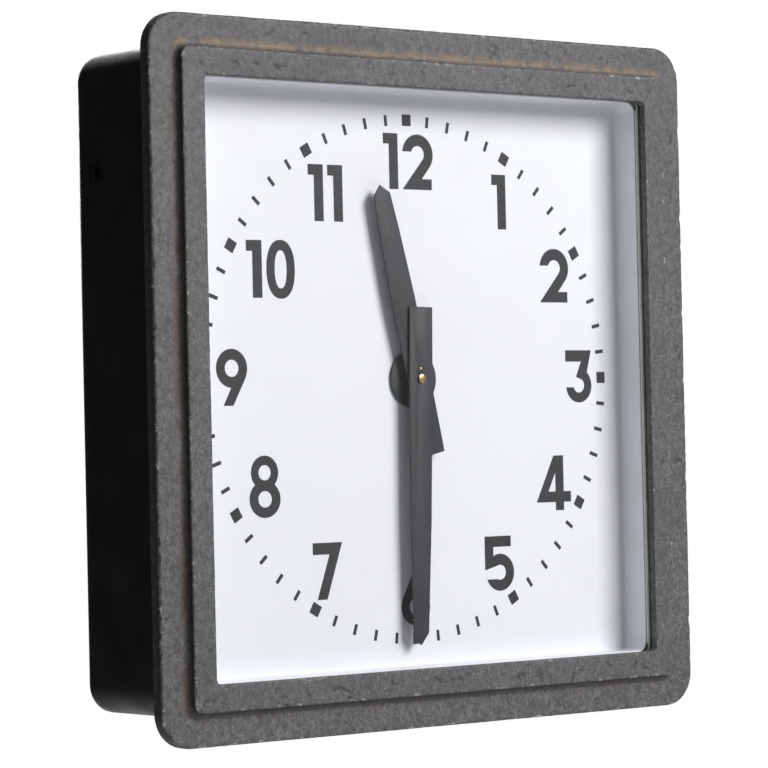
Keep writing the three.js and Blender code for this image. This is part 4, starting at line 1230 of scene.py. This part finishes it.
keptNodes = {
    "clearGlass": ["glass_pane"],
    "putty": ["glass_bedding"],
    "stripPaint": ["glass_strip_top", "glass_strip_bottom", *sided("glass_strip")],
    "rubber": ["door_seal", "gland_seal"],
    "castPaint": sided("case_hinge", "frame_hinge"),
    "zincSteel": ["hanging_bar", *sided("tray_rail"), *[f"tray_screw_{number}" for number in range(1, 5)],
                  "latch_stud", "latch_hook", "latch_keeper"],
    "casePaint": sided("side_screw"),
    "brass": ["gland_body", "gland_locknut", "gland_cap", *sided("terminal_screw"), "movement_front_plate",
              "movement_back_plate", "ratchet_wheel", "intermediate_wheel", "hour_wheel"],
    "brightSteel": [*[f"movement_pillar_{number}" for number in range(1, 5)], "backstop_spring",
                    "intermediate_stud", "armature_arbor", "driving_pawl", "centre_arbor",
                    *sided("hinge_pin")],
    "softIron": ["magnet_yoke", "armature"],
    "bakelite": ["terminal_block"],
    "winding": sided("coil"),
    "clothLead": sided("coil_lead"),
}

for finishName, nodes in keptNodes.items():
    for node in nodes:
        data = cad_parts[node].data
        data.materials.clear()
        data.materials.append(materials[finishName])
print("CAD nodes finished")


# ---- camera, floor and light ----

view = {
    "place": Vector((-1.564, -1.932, -0.042)),
    "yaw": 39.81,
    "pitch": 0.92,
    "roll": -1.27,
    "lens": 162.3,
}


def makeCamera():
    data = bpy.data.cameras.new("camera")
    data.lens = view["lens"]
    data.sensor_width = 36
    data.clip_start = 0.1
    data.clip_end = 50
    yaw, pitch, roll = (math.radians(view[key]) for key in ("yaw", "pitch", "roll"))
    forward = Vector((math.sin(yaw) * math.cos(pitch), math.cos(yaw) * math.cos(pitch), math.sin(pitch)))
    right = Vector((math.cos(yaw), -math.sin(yaw), 0))
    up = right.cross(forward)
    across = right * math.cos(roll) + up * math.sin(roll)
    upright = up * math.cos(roll) - right * math.sin(roll)
    turn = Matrix((across, upright, -forward)).transposed().to_4x4()
    camera = linkedObject("camera", data)
    camera.matrix_world = Matrix.Translation(view["place"]) @ turn
    bpy.context.scene.camera = camera


stage = {
    "drop": 0.75,
    "floorHalf": 1.9,
    "floor": (0.86, 0.86, 0.86),
    "floorPale": (0.84, 0.84, 0.84),
    "ambient": 0.055,
    "key": {"place": (1.15, -2.45, 1.45), "aim": (0, -0.1, 0.0), "size": (1.6, 1.3), "power": 104},
    "top": {"place": (0.2, 0.5, 2.4), "aim": (0, 0, 0), "size": (1.5, 1.5), "power": 12},
    "back": {"place": (0.75, 2.6, 0.9), "aim": (0, 0, 0), "size": (1.2, 1.2), "power": 60},
}


def areaLight(name):
    look = stage[name]
    data = bpy.data.lights.new(name, "AREA")
    data.shape = "RECTANGLE"
    data.size, data.size_y = look["size"]
    data.energy = look["power"]
    light = linkedObject(name, data)
    light.location = look["place"]
    aim = Vector(look["aim"]) - Vector(look["place"])
    light.rotation_euler = aim.to_track_quat("-Z", "Y").to_euler()


def makeStage():
    half = stage["floorHalf"]
    level = cadBox[0].z - stage["drop"]
    finish = Finish("studioFloor", 0.8)
    finish.clearBy(finish.run("ShaderNodeNewGeometry", {}, "Backfacing"), False)
    grain = finish.noise(40, 3.0)
    finish.base = finish.mix(finish.band(grain, 0.3, 0.7), stage["floor"], stage["floorPale"])
    finish.wear()
    points = [(-half, -half, level), (half, -half, level), (half, half, level), (-half, half, level)]
    floor = makePiece("studioFloor", points, [(0, 1, 2, 3)], finish.material)

    world = bpy.data.worlds.new("studio")
    bpy.context.scene.world = world
    world.use_nodes = True
    tree = NodeTree(world.node_tree)
    seen = tree.run("ShaderNodeLightPath", {}, "Is Camera Ray")
    soft, white = (tree.run("ShaderNodeBackground", {"Strength": strength, "Color": (1, 1, 1)})
                   for strength in (stage["ambient"], 1.0))
    blend = tree.run("ShaderNodeMixShader", {"Fac": seen, 1: soft, 2: white})
    tree.put(blend, tree.tree.nodes["World Output"].inputs["Surface"])
    for name in ("key", "top", "back"):
        areaLight(name)
    bpy.context.scene.view_settings.view_transform = "Standard"


makeCamera()
makeStage()
print("camera, floor and lights set")
